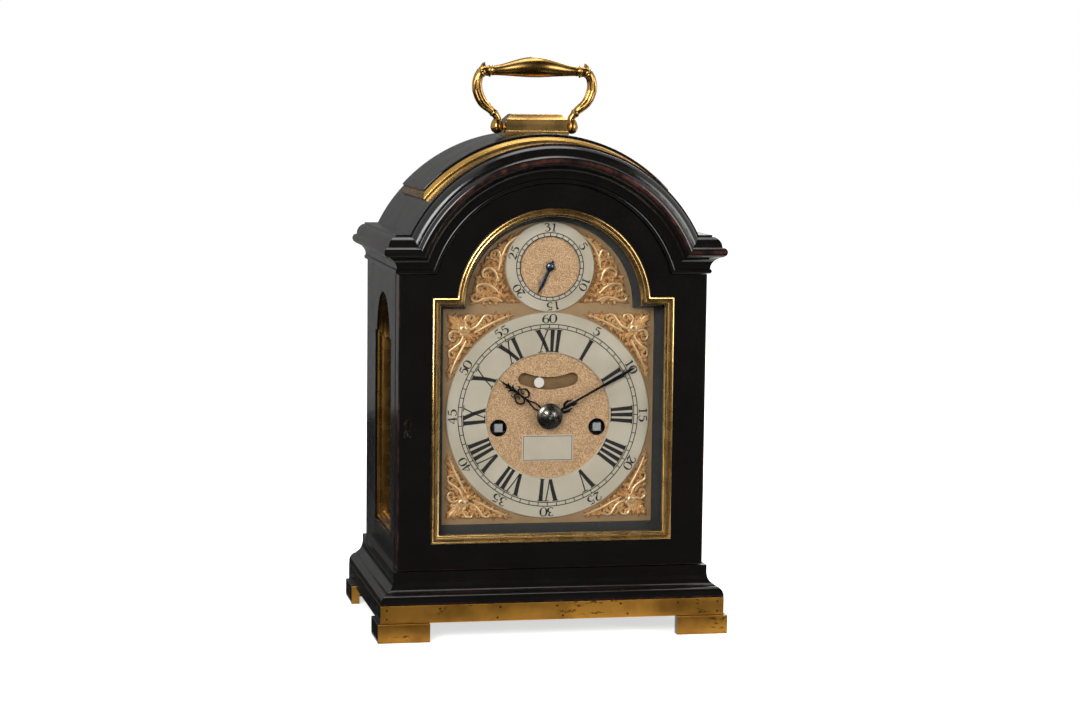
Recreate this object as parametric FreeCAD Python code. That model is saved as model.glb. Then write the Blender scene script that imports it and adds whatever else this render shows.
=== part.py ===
import FreeCAD
import Part
import math
import os

V = FreeCAD.Vector

# Bracket clock with an arched ebonised case, brass mounts and a two-train fusee movement.
# Millimetres. X to the viewer's right, +Y to the back, +Z up. The origin lies on the
# surface under the feet, below the middle of the whole clock's outline.

# Case
case_half_width = 108.4
case_depth = 157.1
side_thickness = 12.0
foot_height = 13.1
foot_projection = 15.0
foot_leg = 6.0
foot_front_length = 36.3
foot_side_length = 33.0
base_board_thickness = 12.3
base_board_projection = 12.8
facing_thickness = 1.2
plinth_height = 21.4
door_opening_height = 204.8
cornice_height = 27.0
arch_drop = 23.1
arch_inner_radius = 85.6
roof_thickness = 9.0
glue_gap = 0.05

# Back board and rear door
back_board_thickness = 12.0
back_door_thickness = 8.0
back_door_half = 78.0
back_door_rise = 12.0
back_door_above_cornice = 6.0
back_door_rail = 15.0
back_door_rebate = 3.0
back_door_recess_gap = 1.0
back_hinge_inset = 2.5

# Roof pad and handle
pad_half_angle = 50.0
pad_front_depth = 26.0
pad_back_depth = 131.0
pad_moulding_height = 3.7
pad_moulding_width = 5.0
pad_height = 2.0
pad_overhang = 0.5
handle_depth = 78.0
handle_block_half = 22.0
handle_block_width = 20.0
handle_block_height = 10.0
handle_block_chamfer = 4.0
handle_pivot_rise = 3.6
handle_pin_radius = 1.6
handle_rise = 43.5
handle_half_span = 41.5
handle_arm_radius = 3.6
handle_grip_radius = 7.5
handle_ball_radius = 4.6

# Front door
door_thickness = 14.0
door_gap = 0.3
door_back_gap = 0.6
door_arch_gap = 0.5
stile_width = 23.4
bottom_rail = 18.5
bezel_shoulder_drop = 16.0
bezel_arch_radius = 68.1
bezel_arch_rise = 0.5
bezel_width = 6.0
bezel_proud = 1.6
bezel_depth = 4.0
glass_thickness = 2.0
hinge_inset_x = 3.0
hinge_inset_y = 3.0
hinge_pin_radius = 1.3
hinge_pin_reach = 8.0
keyhole_inset = 7.0
keyhole_drop = 5.1
keyhole_height = 12.4
keyhole_width = 5.5
lock_throw = 4.0

# Side windows
window_front = 33.0
window_back = 112.0
window_rise = 19.7
window_shoulder = 157.2
window_arch_radius = 32.0
window_lining_width = 5.0

# Dial
dial_half_width = 76.2
dial_thickness = 2.0
dial_depth = 18.0
dial_rise = 104.7
dial_bottom_drop = 77.0
dial_shoulder_rise = 76.3
dial_arch_radius = 60.7
dial_arch_rise = 76.1
mask_lip = 1.2
mask_thickness = 3.0
ring_thickness = 1.6
chapter_outer = 72.15
chapter_inner = 43.9
calendar_rise = 103.9
calendar_outer = 31.3
calendar_inner = 20.8
spandrel_thickness = 2.0
name_plate_half = 18.1
name_plate_height = 18.5
name_plate_drop = 32.2
winding_spread = 35.0
winding_drop = 8.4
collet_radius = 5.95
winding_square = 5.6
slot_radius = 48.0
slot_rise = 70.5
slot_half_angle = 20.7
slot_width = 8.8
mock_bob_radius = 3.55
mock_bob_angle = 7.4

# Hands
minute_length = 70.1
minute_angle = 61.0
hour_length = 44.4
hour_angle = 306.0
calendar_hand_length = 21.7
calendar_hand_angle = 205.0
hand_depth = 11.8
hand_thickness = 1.0
cannon_pipe_radius = 3.0
hour_pipe_radius = 5.0
boss_radius = 9.1

# Movement
plate_half_width = 72.0
plate_thickness = 2.5
front_plate_depth = 32.0
plate_spacing = 57.5
plate_height = 166.0
seat_board_thickness = 8.0
seat_rise = 15.2
arbor_radius = 1.6
light_arbor_radius = 1.0
pivot_radius = 0.7
running_clearance = 0.05
end_shake = 0.3
barrel_arbor_radius = 3.0
barrel_radius = 22.0
barrel_spread = 38.0
barrel_drop = 53.5
fusee_large_radius = 20.0
fusee_small_radius = 10.0
escape_radius = 14.0
escape_teeth = 33
pallet_drop = 19.8
pendulum_length = 142.6
bob_radius = 15.0
bell_radius = 31.0
bell_height = 24.0
bell_rise = 16.0
pin_circle = 15.0
hammer_spread = 62.0
hammer_rise = 44.5
mock_arm_gap = 0.6
crutch_gap = 6.0

# Wheel and pinion counts, and their modules
going_great_teeth = 96
centre_pinion_leaves = 8
centre_wheel_teeth = 84
third_pinion_leaves = 7
third_wheel_teeth = 84
escape_pinion_leaves = 7
strike_great_teeth = 84
pin_pinion_leaves = 7
pin_wheel_teeth = 64
hoop_pinion_leaves = 8
hoop_wheel_teeth = 60
fly_pinion_leaves = 7
cannon_teeth = 20
minute_wheel_teeth = 60
minute_pinion_leaves = 12
hour_wheel_teeth = 48
calendar_star_teeth = 31
centre_module = 0.60
third_module = 0.54
strike_module = 0.60
pin_module = 0.55
hoop_module = 0.50
cannon_module = 0.60

# Places that follow from the sizes above
front_y = foot_projection - (case_depth + foot_projection) / 2
back_y = front_y + case_depth
base_z = foot_height + base_board_thickness
door_z = base_z + plinth_height
cornice_z = door_z + door_opening_height
cornice_top_z = cornice_z + cornice_height
arch_z = cornice_z - arch_drop
roof_radius = arch_inner_radius + cornice_height
panel_front = front_y + door_thickness + door_back_gap
inner_half = case_half_width - side_thickness
seat_z = base_z + plinth_height + seat_rise
plate_z = seat_z + seat_board_thickness
plate_front = front_y + front_plate_depth
plate_inner_front = plate_front + plate_thickness
plate_inner_back = plate_inner_front + plate_spacing
plate_back = plate_inner_back + plate_thickness
dial_z = door_z + dial_rise
dial_front = front_y + dial_depth
dial_back = dial_front + dial_thickness
hand_plane = front_y + hand_depth
calendar_z = dial_z + calendar_rise
pallet_z = dial_z + slot_rise
hinge_x = case_half_width - hinge_inset_x
hinge_y = front_y + hinge_inset_y
door_half = case_half_width - door_gap
door_bottom = door_z + door_gap
door_shoulder = cornice_z - door_gap
bezel_half = case_half_width - stile_width
bezel_bottom = door_z + bottom_rail
bezel_shoulder = cornice_z - bezel_shoulder_drop
bezel_arch_z = arch_z + bezel_arch_rise
back_door_bottom = door_z + back_door_rise
back_door_top = cornice_z + back_door_above_cornice
back_hinge_x = back_door_half - back_hinge_inset
back_hinge_y = back_y - back_hinge_inset
handle_y = front_y + handle_depth
pad_top_radius = roof_radius + pad_moulding_height + pad_height + 2 * glue_gap
block_z = arch_z + pad_top_radius
handle_pivot_z = block_z + handle_pivot_rise

going = (winding_spread, dial_z - winding_drop)
strike = (-winding_spread, dial_z - winding_drop)
centre = (0.0, dial_z)
pallet = (0.0, pallet_z)
escape = (0.0, pallet_z - pallet_drop)


def box(x0, x1, y0, y1, z0, z1):
    return Part.makeBox(x1 - x0, y1 - y0, z1 - z0, V(x0, y0, z0))


def rod(place, radius, y0, y1):
    """A cylinder along Y at an (x, z) place."""
    return Part.makeCylinder(radius, y1 - y0, V(place[0], y0, place[1]), V(0, 1, 0))


def post(x, y, radius, z0, z1):
    return Part.makeCylinder(radius, z1 - z0, V(x, y, z0))


def tube(place, outer, inner, y0, y1):
    return rod(place, outer, y0, y1).cut(rod(place, inner, y0 - 1, y1 + 1))


def prism(points, y0, y1):
    """A closed outline of (x, z) points, extruded along Y."""
    corners = [V(x, y0, z) for x, z in points]
    face = Part.Face(Part.makePolygon(corners + corners[:1]))
    return face.extrude(V(0, y1 - y0, 0))


def polar(place, radius, angle):
    """A point at an angle in degrees clockwise from the top, seen from the front."""
    turn = math.radians(angle)
    return (place[0] + radius * math.sin(turn), place[1] + radius * math.cos(turn))


def turned(shape, place, angle):
    """Turns a shape clockwise about the line along Y at a place."""
    copy = shape.copy()
    copy.rotate(V(place[0], 0, place[1]), V(0, 1, 0), angle)
    return copy


def mirrored(shape):
    return shape.mirror(V(0, 0, 0), V(1, 0, 0))


def join(shapes):
    whole = shapes[0]
    if len(shapes) > 1:
        whole = shapes[0].fuse(shapes[1:])
    return whole.removeSplitter()


def group(shapes):
    return Part.makeCompound(shapes)


def section(steps, place):
    """A face from (projection, height) steps. A step of two points is an arc."""
    edges = []
    here = steps[0][-1]
    for step in steps[1:] + steps[:1]:
        there = step[-1]
        if len(step) == 2:
            edges.append(Part.Arc(place(*here), place(*step[0]), place(*there)).toShape())
        else:
            edges.append(Part.LineSegment(place(*here), place(*there)).toShape())
        here = there
    return Part.Face(Part.Wire(edges))


def arch_outline(half, bottom, shoulder, radius, centre_z, y0, y1):
    """A break-arch: a rectangle with square shoulders and a round top between them."""
    reach = math.sqrt(radius ** 2 - (shoulder - centre_z) ** 2)
    spots = [V(-half, y0, bottom), V(half, y0, bottom), V(half, y0, shoulder), V(reach, y0, shoulder)]
    left = [V(-reach, y0, shoulder), V(-half, y0, shoulder), spots[0]]
    edges = [Part.makeLine(a, b) for a, b in zip(spots, spots[1:])]
    edges.append(Part.Arc(spots[-1], V(0, y0, centre_z + radius), left[0]).toShape())
    edges += [Part.makeLine(a, b) for a, b in zip(left, left[1:])]
    return Part.Face(Part.Wire(edges)).extrude(V(0, y1 - y0, 0))


def round_arch(half, bottom, radius, centre_z, y0, y1):
    """A rectangle whose top is one arc that starts at the sides."""
    spring = centre_z + math.sqrt(max(radius ** 2 - half ** 2, 0.0))
    a, b, c, d = V(-half, y0, bottom), V(half, y0, bottom), V(half, y0, spring), V(-half, y0, spring)
    arc = Part.Arc(c, V(0, y0, centre_z + radius), d).toShape()
    wire = Part.Wire([Part.makeLine(a, b), Part.makeLine(b, c), arc, Part.makeLine(d, a)])
    return Part.Face(wire).extrude(V(0, y1 - y0, 0))


# Mouldings. Each section is a ring of (projection, height) points.

def cornice_steps(depth):
    """Astragal, cavetto, torus nose and ovolo, from the foot of the moulding up."""
    top = cornice_height
    return [
        [(-depth, 0.0)], [(0.9, 0.0)], [(2.4, 1.75), (0.9, 3.5)], [(1.5, 3.5)], [(1.5, 5.0)],
        [(4.0, 9.4), (9.0, 12.0)], [(9.4, 12.4)], [(11.3, 15.4), (9.4, 18.4)], [(8.3, 18.4)],
        [(8.1, 19.2)], [(6.7, 23.2), (3.2, top - 1.2)], [(2.3, top - 1.2)], [(2.3, top)], [(-depth, top)],
    ]


def plinth_steps():
    """Ovolo, small fillet, cavetto and flat top fillet, from the base board up."""
    top = plinth_height
    return [
        [(0.0, 0.0)], [(12.6, 0.0)], [(12.6, 0.8)], [(11.6, 4.6), (8.5, 7.1)], [(7.5, 7.1)],
        [(7.5, 7.8)], [(4.2, 10.6), (2.8, 15.1)], [(2.6, 15.1)], [(2.6, top)], [(0.0, top)],
    ]


def side_run(steps, z, y0, y1):
    """A moulding along the right side of the case, mitred at its front corner."""
    face = section(steps, lambda p, t: V(case_half_width + p, y0, z + t))
    run = face.extrude(V(0, y1 - y0, 0))
    low = V(case_half_width, front_y, z - 1)
    reach = 30.0
    corners = [low, low + V(-reach, 0, 0), low + V(-reach, -reach, 0), low + V(reach, -reach, 0), low]
    waste = Part.Face(Part.makePolygon(corners)).extrude(V(0, 0, 60))
    return run.cut(waste)


def front_run(steps, z, x0, x1, mitre_left, mitre_right):
    """A moulding along the front, cut at 45 degrees where it meets a side run."""
    reach = 30.0
    start = x0 - reach if mitre_left else x0
    end = x1 + reach if mitre_right else x1
    face = section(steps, lambda p, t: V(start, front_y - p, z + t))
    run = face.extrude(V(end - start, 0, 0))
    keep = [V(x0, front_y + reach, z - 1), V(x0, front_y, z - 1)]
    keep += [V(x0 - reach, front_y - reach, z - 1)] if mitre_left else [V(x0, front_y - reach, z - 1)]
    keep += [V(x1 + reach, front_y - reach, z - 1)] if mitre_right else [V(x1, front_y - reach, z - 1)]
    keep += [V(x1, front_y, z - 1), V(x1, front_y + reach, z - 1)]
    region = Part.Face(Part.makePolygon(keep + keep[:1])).extrude(V(0, 0, 60))
    return run.common(region)


def mitre_x(rise):
    """Where the arch moulding and the level moulding are the same height up their sections."""
    return math.sqrt((arch_inner_radius + rise) ** 2 - (arch_drop + rise) ** 2)


def arch_waste():
    """The space to the right of the curved mitre, for cutting the arch or keeping the returns."""
    y0 = front_y - 30
    foot = V(mitre_x(0), y0, cornice_z)
    middle = V(mitre_x(cornice_height / 2), y0, cornice_z + cornice_height / 2)
    head = V(mitre_x(cornice_height), y0, cornice_top_z)
    side = 200.0
    far = [V(side, y0, cornice_top_z), V(side, y0, cornice_z)]
    edges = [Part.Arc(foot, middle, head).toShape(), Part.makeLine(head, far[0])]
    edges += [Part.makeLine(far[0], far[1]), Part.makeLine(far[1], foot)]
    return Part.Face(Part.Wire(edges)).extrude(V(0, 80, 0))


def arch_moulding():
    depth = door_thickness + door_back_gap
    face = section(cornice_steps(depth), lambda p, t: V(0, front_y - p, arch_z + arch_inner_radius + t))
    ring = face.revolve(V(0, front_y, arch_z), V(0, 1, 0), 85.0)
    ring = ring.fuse(face.revolve(V(0, front_y, arch_z), V(0, 1, 0), -85.0)).removeSplitter()
    waste = arch_waste()
    below = box(-200, 200, front_y - 30, front_y + 50, door_z, cornice_z)
    return ring.cut([waste, mirrored(waste), below])


def cornice_mouldings():
    depth = door_thickness + door_back_gap
    right = side_run(cornice_steps(0.0), cornice_z, front_y - 30, back_y)
    level = front_run(cornice_steps(depth), cornice_z, 40.0, case_half_width, False, True)
    level = level.common(arch_waste())
    pin_hole = post(hinge_x, hinge_y, hinge_pin_radius, cornice_z - 1, cornice_z + hinge_pin_reach)
    return group([right, level.cut(pin_hole), mirrored(right), mirrored(level)])


def plinth_moulding():
    right = side_run(plinth_steps(), base_z, front_y - 30, back_y)
    steps = plinth_steps()
    steps[0] = [(-door_thickness, 0.0)]
    steps[-1] = [(-door_thickness, plinth_height)]
    front = front_run(steps, base_z, -case_half_width, case_half_width, True, True)
    pin_hole = post(hinge_x, hinge_y, hinge_pin_radius, door_z - hinge_pin_reach, door_z + 1)
    return group([front.cut(pin_hole), right, mirrored(right)])


# Case

def bracket_foot(sign, at_back):
    """One L-shaped foot of two wooden legs, flush at the back of the clock."""
    outer = case_half_width + foot_projection
    y0 = front_y - foot_projection + facing_thickness
    y1 = y0 - facing_thickness + foot_side_length
    bar_y = (y0, y0 + foot_leg)
    if at_back:
        y0, y1 = back_y - foot_side_length + facing_thickness, back_y
        bar_y = (y1 - foot_leg, y1)
    side = box(outer - foot_leg, outer, y0, y1, 0, foot_height)
    bar = box(outer - foot_front_length, outer, bar_y[0], bar_y[1], 0, foot_height)
    foot = join([side, bar])
    return foot if sign > 0 else mirrored(foot)


def bracket_feet():
    return group([bracket_foot(sign, at_back) for sign in (1, -1) for at_back in (False, True)])


def base_facings():
    """Brass on the front of the base board, the front feet and the ends of the back feet."""
    outer = case_half_width + foot_projection
    y0 = front_y - foot_projection
    front = box(outer - foot_front_length, outer, y0, y0 + facing_thickness, 0, foot_height)
    y1 = back_y - foot_side_length
    back = box(outer - foot_leg, outer, y1, y1 + facing_thickness, 0, foot_height)
    half = case_half_width + base_board_projection
    y2 = front_y - base_board_projection
    strip = box(-half, half, y2, y2 + facing_thickness, foot_height, base_z)
    return group([strip, front, mirrored(front), back, mirrored(back)])


def base_board():
    half = case_half_width + base_board_projection
    return box(-half, half, front_y - base_board_projection + facing_thickness, back_y, foot_height, base_z)


def window_shape(margin, x0, x1):
    """The side window's break-arch, made smaller by a margin, as a prism along X."""
    half = (window_back - window_front) / 2 - margin
    bottom = door_z + window_rise + margin
    shoulder = door_z + window_shoulder - margin
    radius = window_arch_radius - margin
    centre_z = door_z + window_shoulder - 2.0
    shape = arch_outline(half, bottom, shoulder, radius, centre_z, -x1, -x0)
    shape.rotate(V(0, 0, 0), V(0, 0, 1), 90)
    shape.translate(V(0, front_y + (window_front + window_back) / 2, 0))
    return shape


def side_panel(sign):
    panel = box(inner_half, case_half_width, panel_front, back_y, base_z, cornice_top_z)
    panel = panel.cut(window_shape(0.0, inner_half - 1, case_half_width + 1))
    if sign > 0:
        return panel
    keyhole_z = dial_z - keyhole_drop
    slot_half = keyhole_height / 2 + lock_throw
    slot = box(inner_half + 1.5, case_half_width - 1.5, panel_front - 1, panel_front + 8,
               keyhole_z - slot_half, keyhole_z + slot_half)
    return mirrored(panel.cut(slot))


def side_panel_left():
    return side_panel(-1)


def side_panel_right():
    return side_panel(1)


def window_linings():
    """Stepped brass linings, recessed in the side windows."""
    outer, step = case_half_width - 1.5, case_half_width - 5.0
    seat = inner_half + 2.0
    wide = window_shape(0.1, seat, outer).cut(window_shape(window_lining_width - 2.0, seat - 1, outer + 1))
    narrow = window_shape(window_lining_width - 2.0, seat, step)
    narrow = narrow.cut(window_shape(window_lining_width, seat - 1, step + 1))
    lining = join([wide, narrow])
    return group([lining, mirrored(lining)])


def side_glasses():
    pane = window_shape(0.2, inner_half + 0.2, inner_half + 2.0)
    return group([pane, mirrored(pane)])


def roof_shell():
    ring = tube((0, arch_z), roof_radius, roof_radius - roof_thickness, panel_front, back_y)
    return ring.cut(box(-200, 200, panel_front - 1, back_y + 1, arch_z - 200, cornice_top_z))


def pad_layer(inner, outer, half_angle, y0, y1, edge):
    """A curved slab on the roof whose four edges all follow the same (in, up) profile."""
    def across(p, t):
        return V(0, y0 + p, arch_z + inner + t)
    length = y1 - y0
    far = [[(length - step[-1][0], step[-1][1])] if len(step) == 1 else
           [(length - step[0][0], step[0][1]), (length - step[1][0], step[1][1])] for step in edge]
    ring = [[edge[0][-1]]] + edge[1:] + [[far[-1][-1]]]
    for i in range(len(edge) - 1, 0, -1):
        end = far[i - 1][-1]
        ring.append([far[i][0], end] if len(far[i]) == 2 else [end])
    face = section(ring, across)
    turn = half_angle + 4.0
    slab = face.revolve(V(0, y0, arch_z), V(0, 1, 0), turn)
    slab = slab.fuse(face.revolve(V(0, y0, arch_z), V(0, 1, 0), -turn)).removeSplitter()

    def end_point(p, t, sign):
        radius = inner + t
        spot = polar((0, arch_z), radius, sign * (half_angle - math.degrees(p / inner)))
        return V(spot[0], y0, spot[1])
    height = outer - inner
    edges = []
    for sign in (-1, 1):
        spots = [end_point(*edge[0][-1], sign)]
        for step in edge[1:]:
            there = end_point(*step[-1], sign)
            if len(step) == 2:
                edges.append(Part.Arc(spots[-1], end_point(*step[0], sign), there).toShape())
            else:
                edges.append(Part.makeLine(spots[-1], there))
            spots.append(there)
        if sign < 0:
            first, last = spots[0], spots[-1]
    crown = V(0, y0, arch_z + inner + height)
    base = V(0, y0, arch_z + inner)
    edges.append(Part.Arc(last, crown, spots[-1]).toShape())
    edges.append(Part.Arc(first, base, spots[0]).toShape())
    wire = Part.Wire(Part.sortEdges(edges)[0])
    return slab.common(Part.Face(wire).extrude(V(0, length, 0)))


def pad_moulding():
    """The brass moulding round the roof's raised pad."""
    edge = [[(0.0, 0.0)], [(0.0, 1.0)], [(1.3, 2.9), (3.2, pad_moulding_height - 0.5)],
            [(pad_moulding_width, pad_moulding_height - 0.5)], [(pad_moulding_width, pad_moulding_height)]]
    inner = roof_radius + glue_gap
    return pad_layer(inner, inner + pad_moulding_height, pad_half_angle,
                     front_y + pad_front_depth, front_y + pad_back_depth, edge)


def roof_pad():
    inner = roof_radius + 2 * glue_gap + pad_moulding_height
    edge = [[(0.0, 0.0)], [(0.0, pad_height - 0.6)], [(0.6, pad_height)]]
    inset = pad_moulding_width - pad_overhang
    half_angle = pad_half_angle - math.degrees(inset / roof_radius)
    return pad_layer(inner, inner + pad_height, half_angle,
                     front_y + pad_front_depth + inset, front_y + pad_back_depth - inset, edge)


def handle_base():
    """The hipped brass block that carries the handle, with a flared foot and two pins."""
    half, width = handle_block_half, handle_block_width / 2
    body_top = block_z + handle_block_height - 0.6
    drop = pad_top_radius - math.sqrt(pad_top_radius ** 2 - (half + 1.2) ** 2) + 1.0
    foot = box(-half - 0.9, half + 0.9, handle_y - width - 0.9, handle_y + width + 0.9,
               block_z - drop, block_z + 1.0)
    body = box(-half, half, handle_y - width, handle_y + width, block_z - drop, body_top)

    def rectangle(inset, z):
        x, y = half - inset, width - inset
        return Part.makePolygon([V(-x, handle_y - y, z), V(x, handle_y - y, z), V(x, handle_y + y, z),
                                 V(-x, handle_y + y, z), V(-x, handle_y - y, z)])
    hip = Part.makeLoft([rectangle(0.0, body_top), rectangle(handle_block_chamfer, body_top + 3.6)], True, True)
    pins = Part.makeCylinder(handle_pin_radius, 2 * (half + handle_ball_radius + 1.5),
                             V(-half - handle_ball_radius - 1.5, handle_y, handle_pivot_z), V(1, 0, 0))
    whole = join([foot, body, hip, pins])
    return whole.cut(rod((0, arch_z), pad_top_radius + glue_gap, front_y, back_y))


def arm_stations():
    """The right arm's centre points and radii, from its ball to the shoulder of the grip."""
    x, z, up = handle_half_span, handle_pivot_z, handle_rise
    spread = x - 26.9
    return [
        (26.9, z + 0.10 * up, 2.9), (26.9 + 0.30 * spread, z + 0.275 * up, 3.3),
        (26.9 + 0.75 * spread, z + 0.41 * up, handle_arm_radius), (x, z + 0.615 * up, handle_arm_radius + 0.2),
        (x - 0.7, z + 0.81 * up, handle_arm_radius), (x - 4.9, z + 0.955 * up, 3.4),
    ]


def arm_section(spot, direction):
    x, z, radius = spot
    return Part.Wire(Part.makeCircle(radius, V(x, handle_y, z), direction))


def bail_handle():
    """The brass bail: two swept arms, ball ends on the pins and a spindle-shaped grip."""
    spots = arm_stations()
    sections = []
    for i, spot in enumerate(spots):
        before, after = spots[max(i - 1, 0)], spots[min(i + 1, len(spots) - 1)]
        sections.append(arm_section(spot, V(after[0] - before[0], 0, after[1] - before[1])))
    arm = Part.makeLoft(sections, True, False)
    ball = Part.makeSphere(handle_ball_radius, V(27.1, handle_y, handle_pivot_z))
    tip = spots[-1]
    shoulder = Part.makeSphere(tip[2] + 0.25, V(tip[0], handle_y, tip[1]))
    leaf = Part.makeCone(2.6, 0.5, 4.2, V(tip[0] - 0.4, handle_y, tip[1] + 2.2), V(0.25, 0, 1))
    half = [arm, ball, shoulder, leaf]
    grip_z = tip[1] + 0.8
    profile = [(0.0, handle_grip_radius), (10.0, 6.9), (20.0, 5.2), (28.0, 3.8), (33.0, 3.2), (tip[0], 3.4)]
    curve = Part.BSplineCurve()
    curve.interpolate([V(x, handle_y, grip_z + r) for x, r in profile])
    ends = [V(tip[0], handle_y, grip_z), V(0, handle_y, grip_z)]
    wire = Part.Wire([curve.toShape(), Part.makeLine(V(tip[0], handle_y, grip_z + 3.4), ends[0]),
                      Part.makeLine(ends[0], ends[1]),
                      Part.makeLine(ends[1], V(0, handle_y, grip_z + handle_grip_radius))])
    grip = Part.Face(wire).revolve(ends[1], V(1, 0, 0), 360)
    right = join(half + [grip])
    whole = join([right, mirrored(right)])
    near = handle_block_half + 0.3
    clear = box(-near, near, handle_y - 30, handle_y + 30, handle_pivot_z - 15, handle_pivot_z + 18)
    bore = Part.makeCylinder(handle_pin_radius + running_clearance, 80, V(-40, handle_y, handle_pivot_z), V(1, 0, 0))
    return whole.cut([clear, bore])


def back_frame():
    """The fixed board at the back, with the opening for the rear door."""
    board = round_arch(inner_half, base_z, roof_radius - roof_thickness - glue_gap, arch_z,
                       back_y - back_board_thickness, back_y)
    opening = box(-back_door_half - door_gap, back_door_half + door_gap, back_y - 30, back_y + 1,
                  back_door_bottom - door_gap, back_door_top + door_gap)
    inset = back_door_half - back_door_rebate
    stop = box(-inset, inset, back_y - 30, back_y + 1,
               back_door_bottom + back_door_rebate, back_door_top - back_door_rebate)
    recess = opening.common(box(-200, 200, back_y - back_door_thickness - back_door_recess_gap,
                                back_y + 1, 0, 400))
    pin_hole = post(back_hinge_x, back_hinge_y, hinge_pin_radius, back_door_bottom - door_gap - hinge_pin_reach,
                    back_door_top + door_gap + hinge_pin_reach)
    return board.cut([recess, stop, pin_hole])


def seat_board():
    return box(-inner_half, inner_half, plate_front - 8, plate_back + 2, seat_z, plate_z)


def hinge_pins():
    """Steel pins on which the two doors turn, fixed in the case."""
    reach = hinge_pin_reach - 0.5
    pins = [post(hinge_x, hinge_y, hinge_pin_radius - 0.01, door_z - reach, door_z + reach),
            post(hinge_x, hinge_y, hinge_pin_radius - 0.01, cornice_z - reach, cornice_z + reach)]
    for z in (back_door_bottom, back_door_top):
        pins.append(post(back_hinge_x, back_hinge_y, hinge_pin_radius - 0.01, z - reach, z + reach))
    return group(pins)


# Doors

def door_outline(margin, y0, y1):
    return arch_outline(door_half - margin, door_bottom + margin, door_shoulder - margin,
                        arch_inner_radius - door_arch_gap - margin, arch_z, y0, y1)


def bezel_outline(margin, y0, y1):
    return arch_outline(bezel_half - margin, bezel_bottom + margin, bezel_shoulder - margin,
                        bezel_arch_radius - margin, bezel_arch_z, y0, y1)


def keyhole_shape(margin, y0, y1):
    """A round eye over a tapering slot, made smaller by a margin."""
    x, z = -case_half_width + keyhole_inset, dial_z - keyhole_drop
    radius = keyhole_width / 2 - margin
    eye_z = z + keyhole_height / 2 - keyhole_width / 2
    foot_z = z - keyhole_height / 2 + margin
    eye = rod((x, eye_z), radius, y0, y1)
    neck, foot = radius * 0.62, radius * 0.9
    slot = prism([(x - neck, eye_z), (x - foot, foot_z), (x + foot, foot_z), (x + neck, eye_z)], y0, y1)
    return join([eye, slot])


def door_frame():
    back = front_y + door_thickness
    frame = door_outline(0.0, front_y, back)
    opening = bezel_outline(-0.1, front_y - 1, back + 1)
    inlay = keyhole_shape(-0.02, front_y - 1, front_y + 1.5)
    passage = keyhole_shape(0.9, front_y, front_y + 9.0)
    reach = hinge_pin_reach - 0.2
    bore = hinge_pin_radius + running_clearance
    holes = [post(hinge_x, hinge_y, bore, door_bottom - 1, door_z + reach),
             post(hinge_x, hinge_y, bore, cornice_z - reach, door_shoulder + 1)]
    return frame.cut([opening, inlay, passage, lock_mortice()] + holes)


def lock_spot():
    return -case_half_width + keyhole_inset, dial_z - keyhole_drop


def lock_mortice():
    x, z = lock_spot()
    half = keyhole_height / 2
    back = front_y + door_thickness
    return box(x - 4.3, x + 4.3, back - 5.3, back + 1, z - half - 0.3, z + half + lock_throw + 0.3)


def lock_bolt():
    """The lock's bolt: a plate in the stile with a tongue that reaches into the case side."""
    x, z = lock_spot()
    half = keyhole_height / 2
    back = front_y + door_thickness
    plate = box(x - 4.0, x + 4.0, back - 5.0, back - 1.0, z - half, z + half)
    tongue = box(x - 1.5, x + 1.5, back - 1.0, back + 5.0, z - half + 2, z + half - 2)
    return join([plate, tongue])


def door_bezel():
    """The brass sight ring: outer bead, groove and inner ovolo, with mitred corners."""
    front, back = front_y - bezel_proud, front_y + bezel_depth
    outer = bezel_outline(0.0, front + 0.6, back).cut(bezel_outline(1.9, front, back + 1))
    bead = bezel_outline(0.5, front, back).cut(bezel_outline(1.6, front - 1, back + 1))
    groove = bezel_outline(1.9, front + 2.2, back).cut(bezel_outline(2.8, front, back + 1))
    inner = bezel_outline(2.8, front + 0.9, back).cut(bezel_outline(4.6, front - 1, back + 1))
    lip = bezel_outline(4.6, front + 2.6, back).cut(bezel_outline(bezel_width, front, back + 1))
    return join([outer, bead, groove, inner, lip])


def door_glass():
    y0 = front_y + bezel_depth
    return bezel_outline(0.2, y0, y0 + glass_thickness)


def keyhole_escutcheon():
    shape = keyhole_shape(0.0, front_y, front_y + 1.5)
    return shape.cut(keyhole_shape(0.9, front_y - 1, front_y + 2))


def back_door_frame():
    y0, y1 = back_y - back_door_thickness, back_y
    frame = box(-back_door_half, back_door_half, y0, y1, back_door_bottom, back_door_top)
    half = back_door_half - back_door_rail
    opening = round_arch(half, back_door_bottom + back_door_rail, half,
                         back_door_top - back_door_rail - half, y0 - 1, y1 + 1)
    wide = half + back_door_rebate
    rebate = round_arch(wide, back_door_bottom + back_door_rail - back_door_rebate, wide,
                        back_door_top - back_door_rail - half, y0 - 1, y0 + 2.5)
    reach = hinge_pin_reach - 0.2
    bore = hinge_pin_radius + running_clearance
    holes = [post(back_hinge_x, back_hinge_y, bore, back_door_bottom - 1, back_door_bottom + reach),
             post(back_hinge_x, back_hinge_y, bore, back_door_top - reach, back_door_top + 1)]
    corner = box(back_hinge_x, back_door_half + 1, back_hinge_y, back_y + 1, 0, 400)
    rounded = post(back_hinge_x, back_hinge_y, back_hinge_inset, back_door_bottom, back_door_top)
    return frame.cut(corner).fuse(rounded).removeSplitter().cut([opening, rebate] + holes)


def back_door_glass():
    y0 = back_y - back_door_thickness
    half = back_door_half - back_door_rail
    return round_arch(half + 2.8, back_door_bottom + back_door_rail - 2.8, half + 2.8,
                      back_door_top - back_door_rail - half, y0 + 0.5, y0 + 2.5)


# Dial

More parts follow.
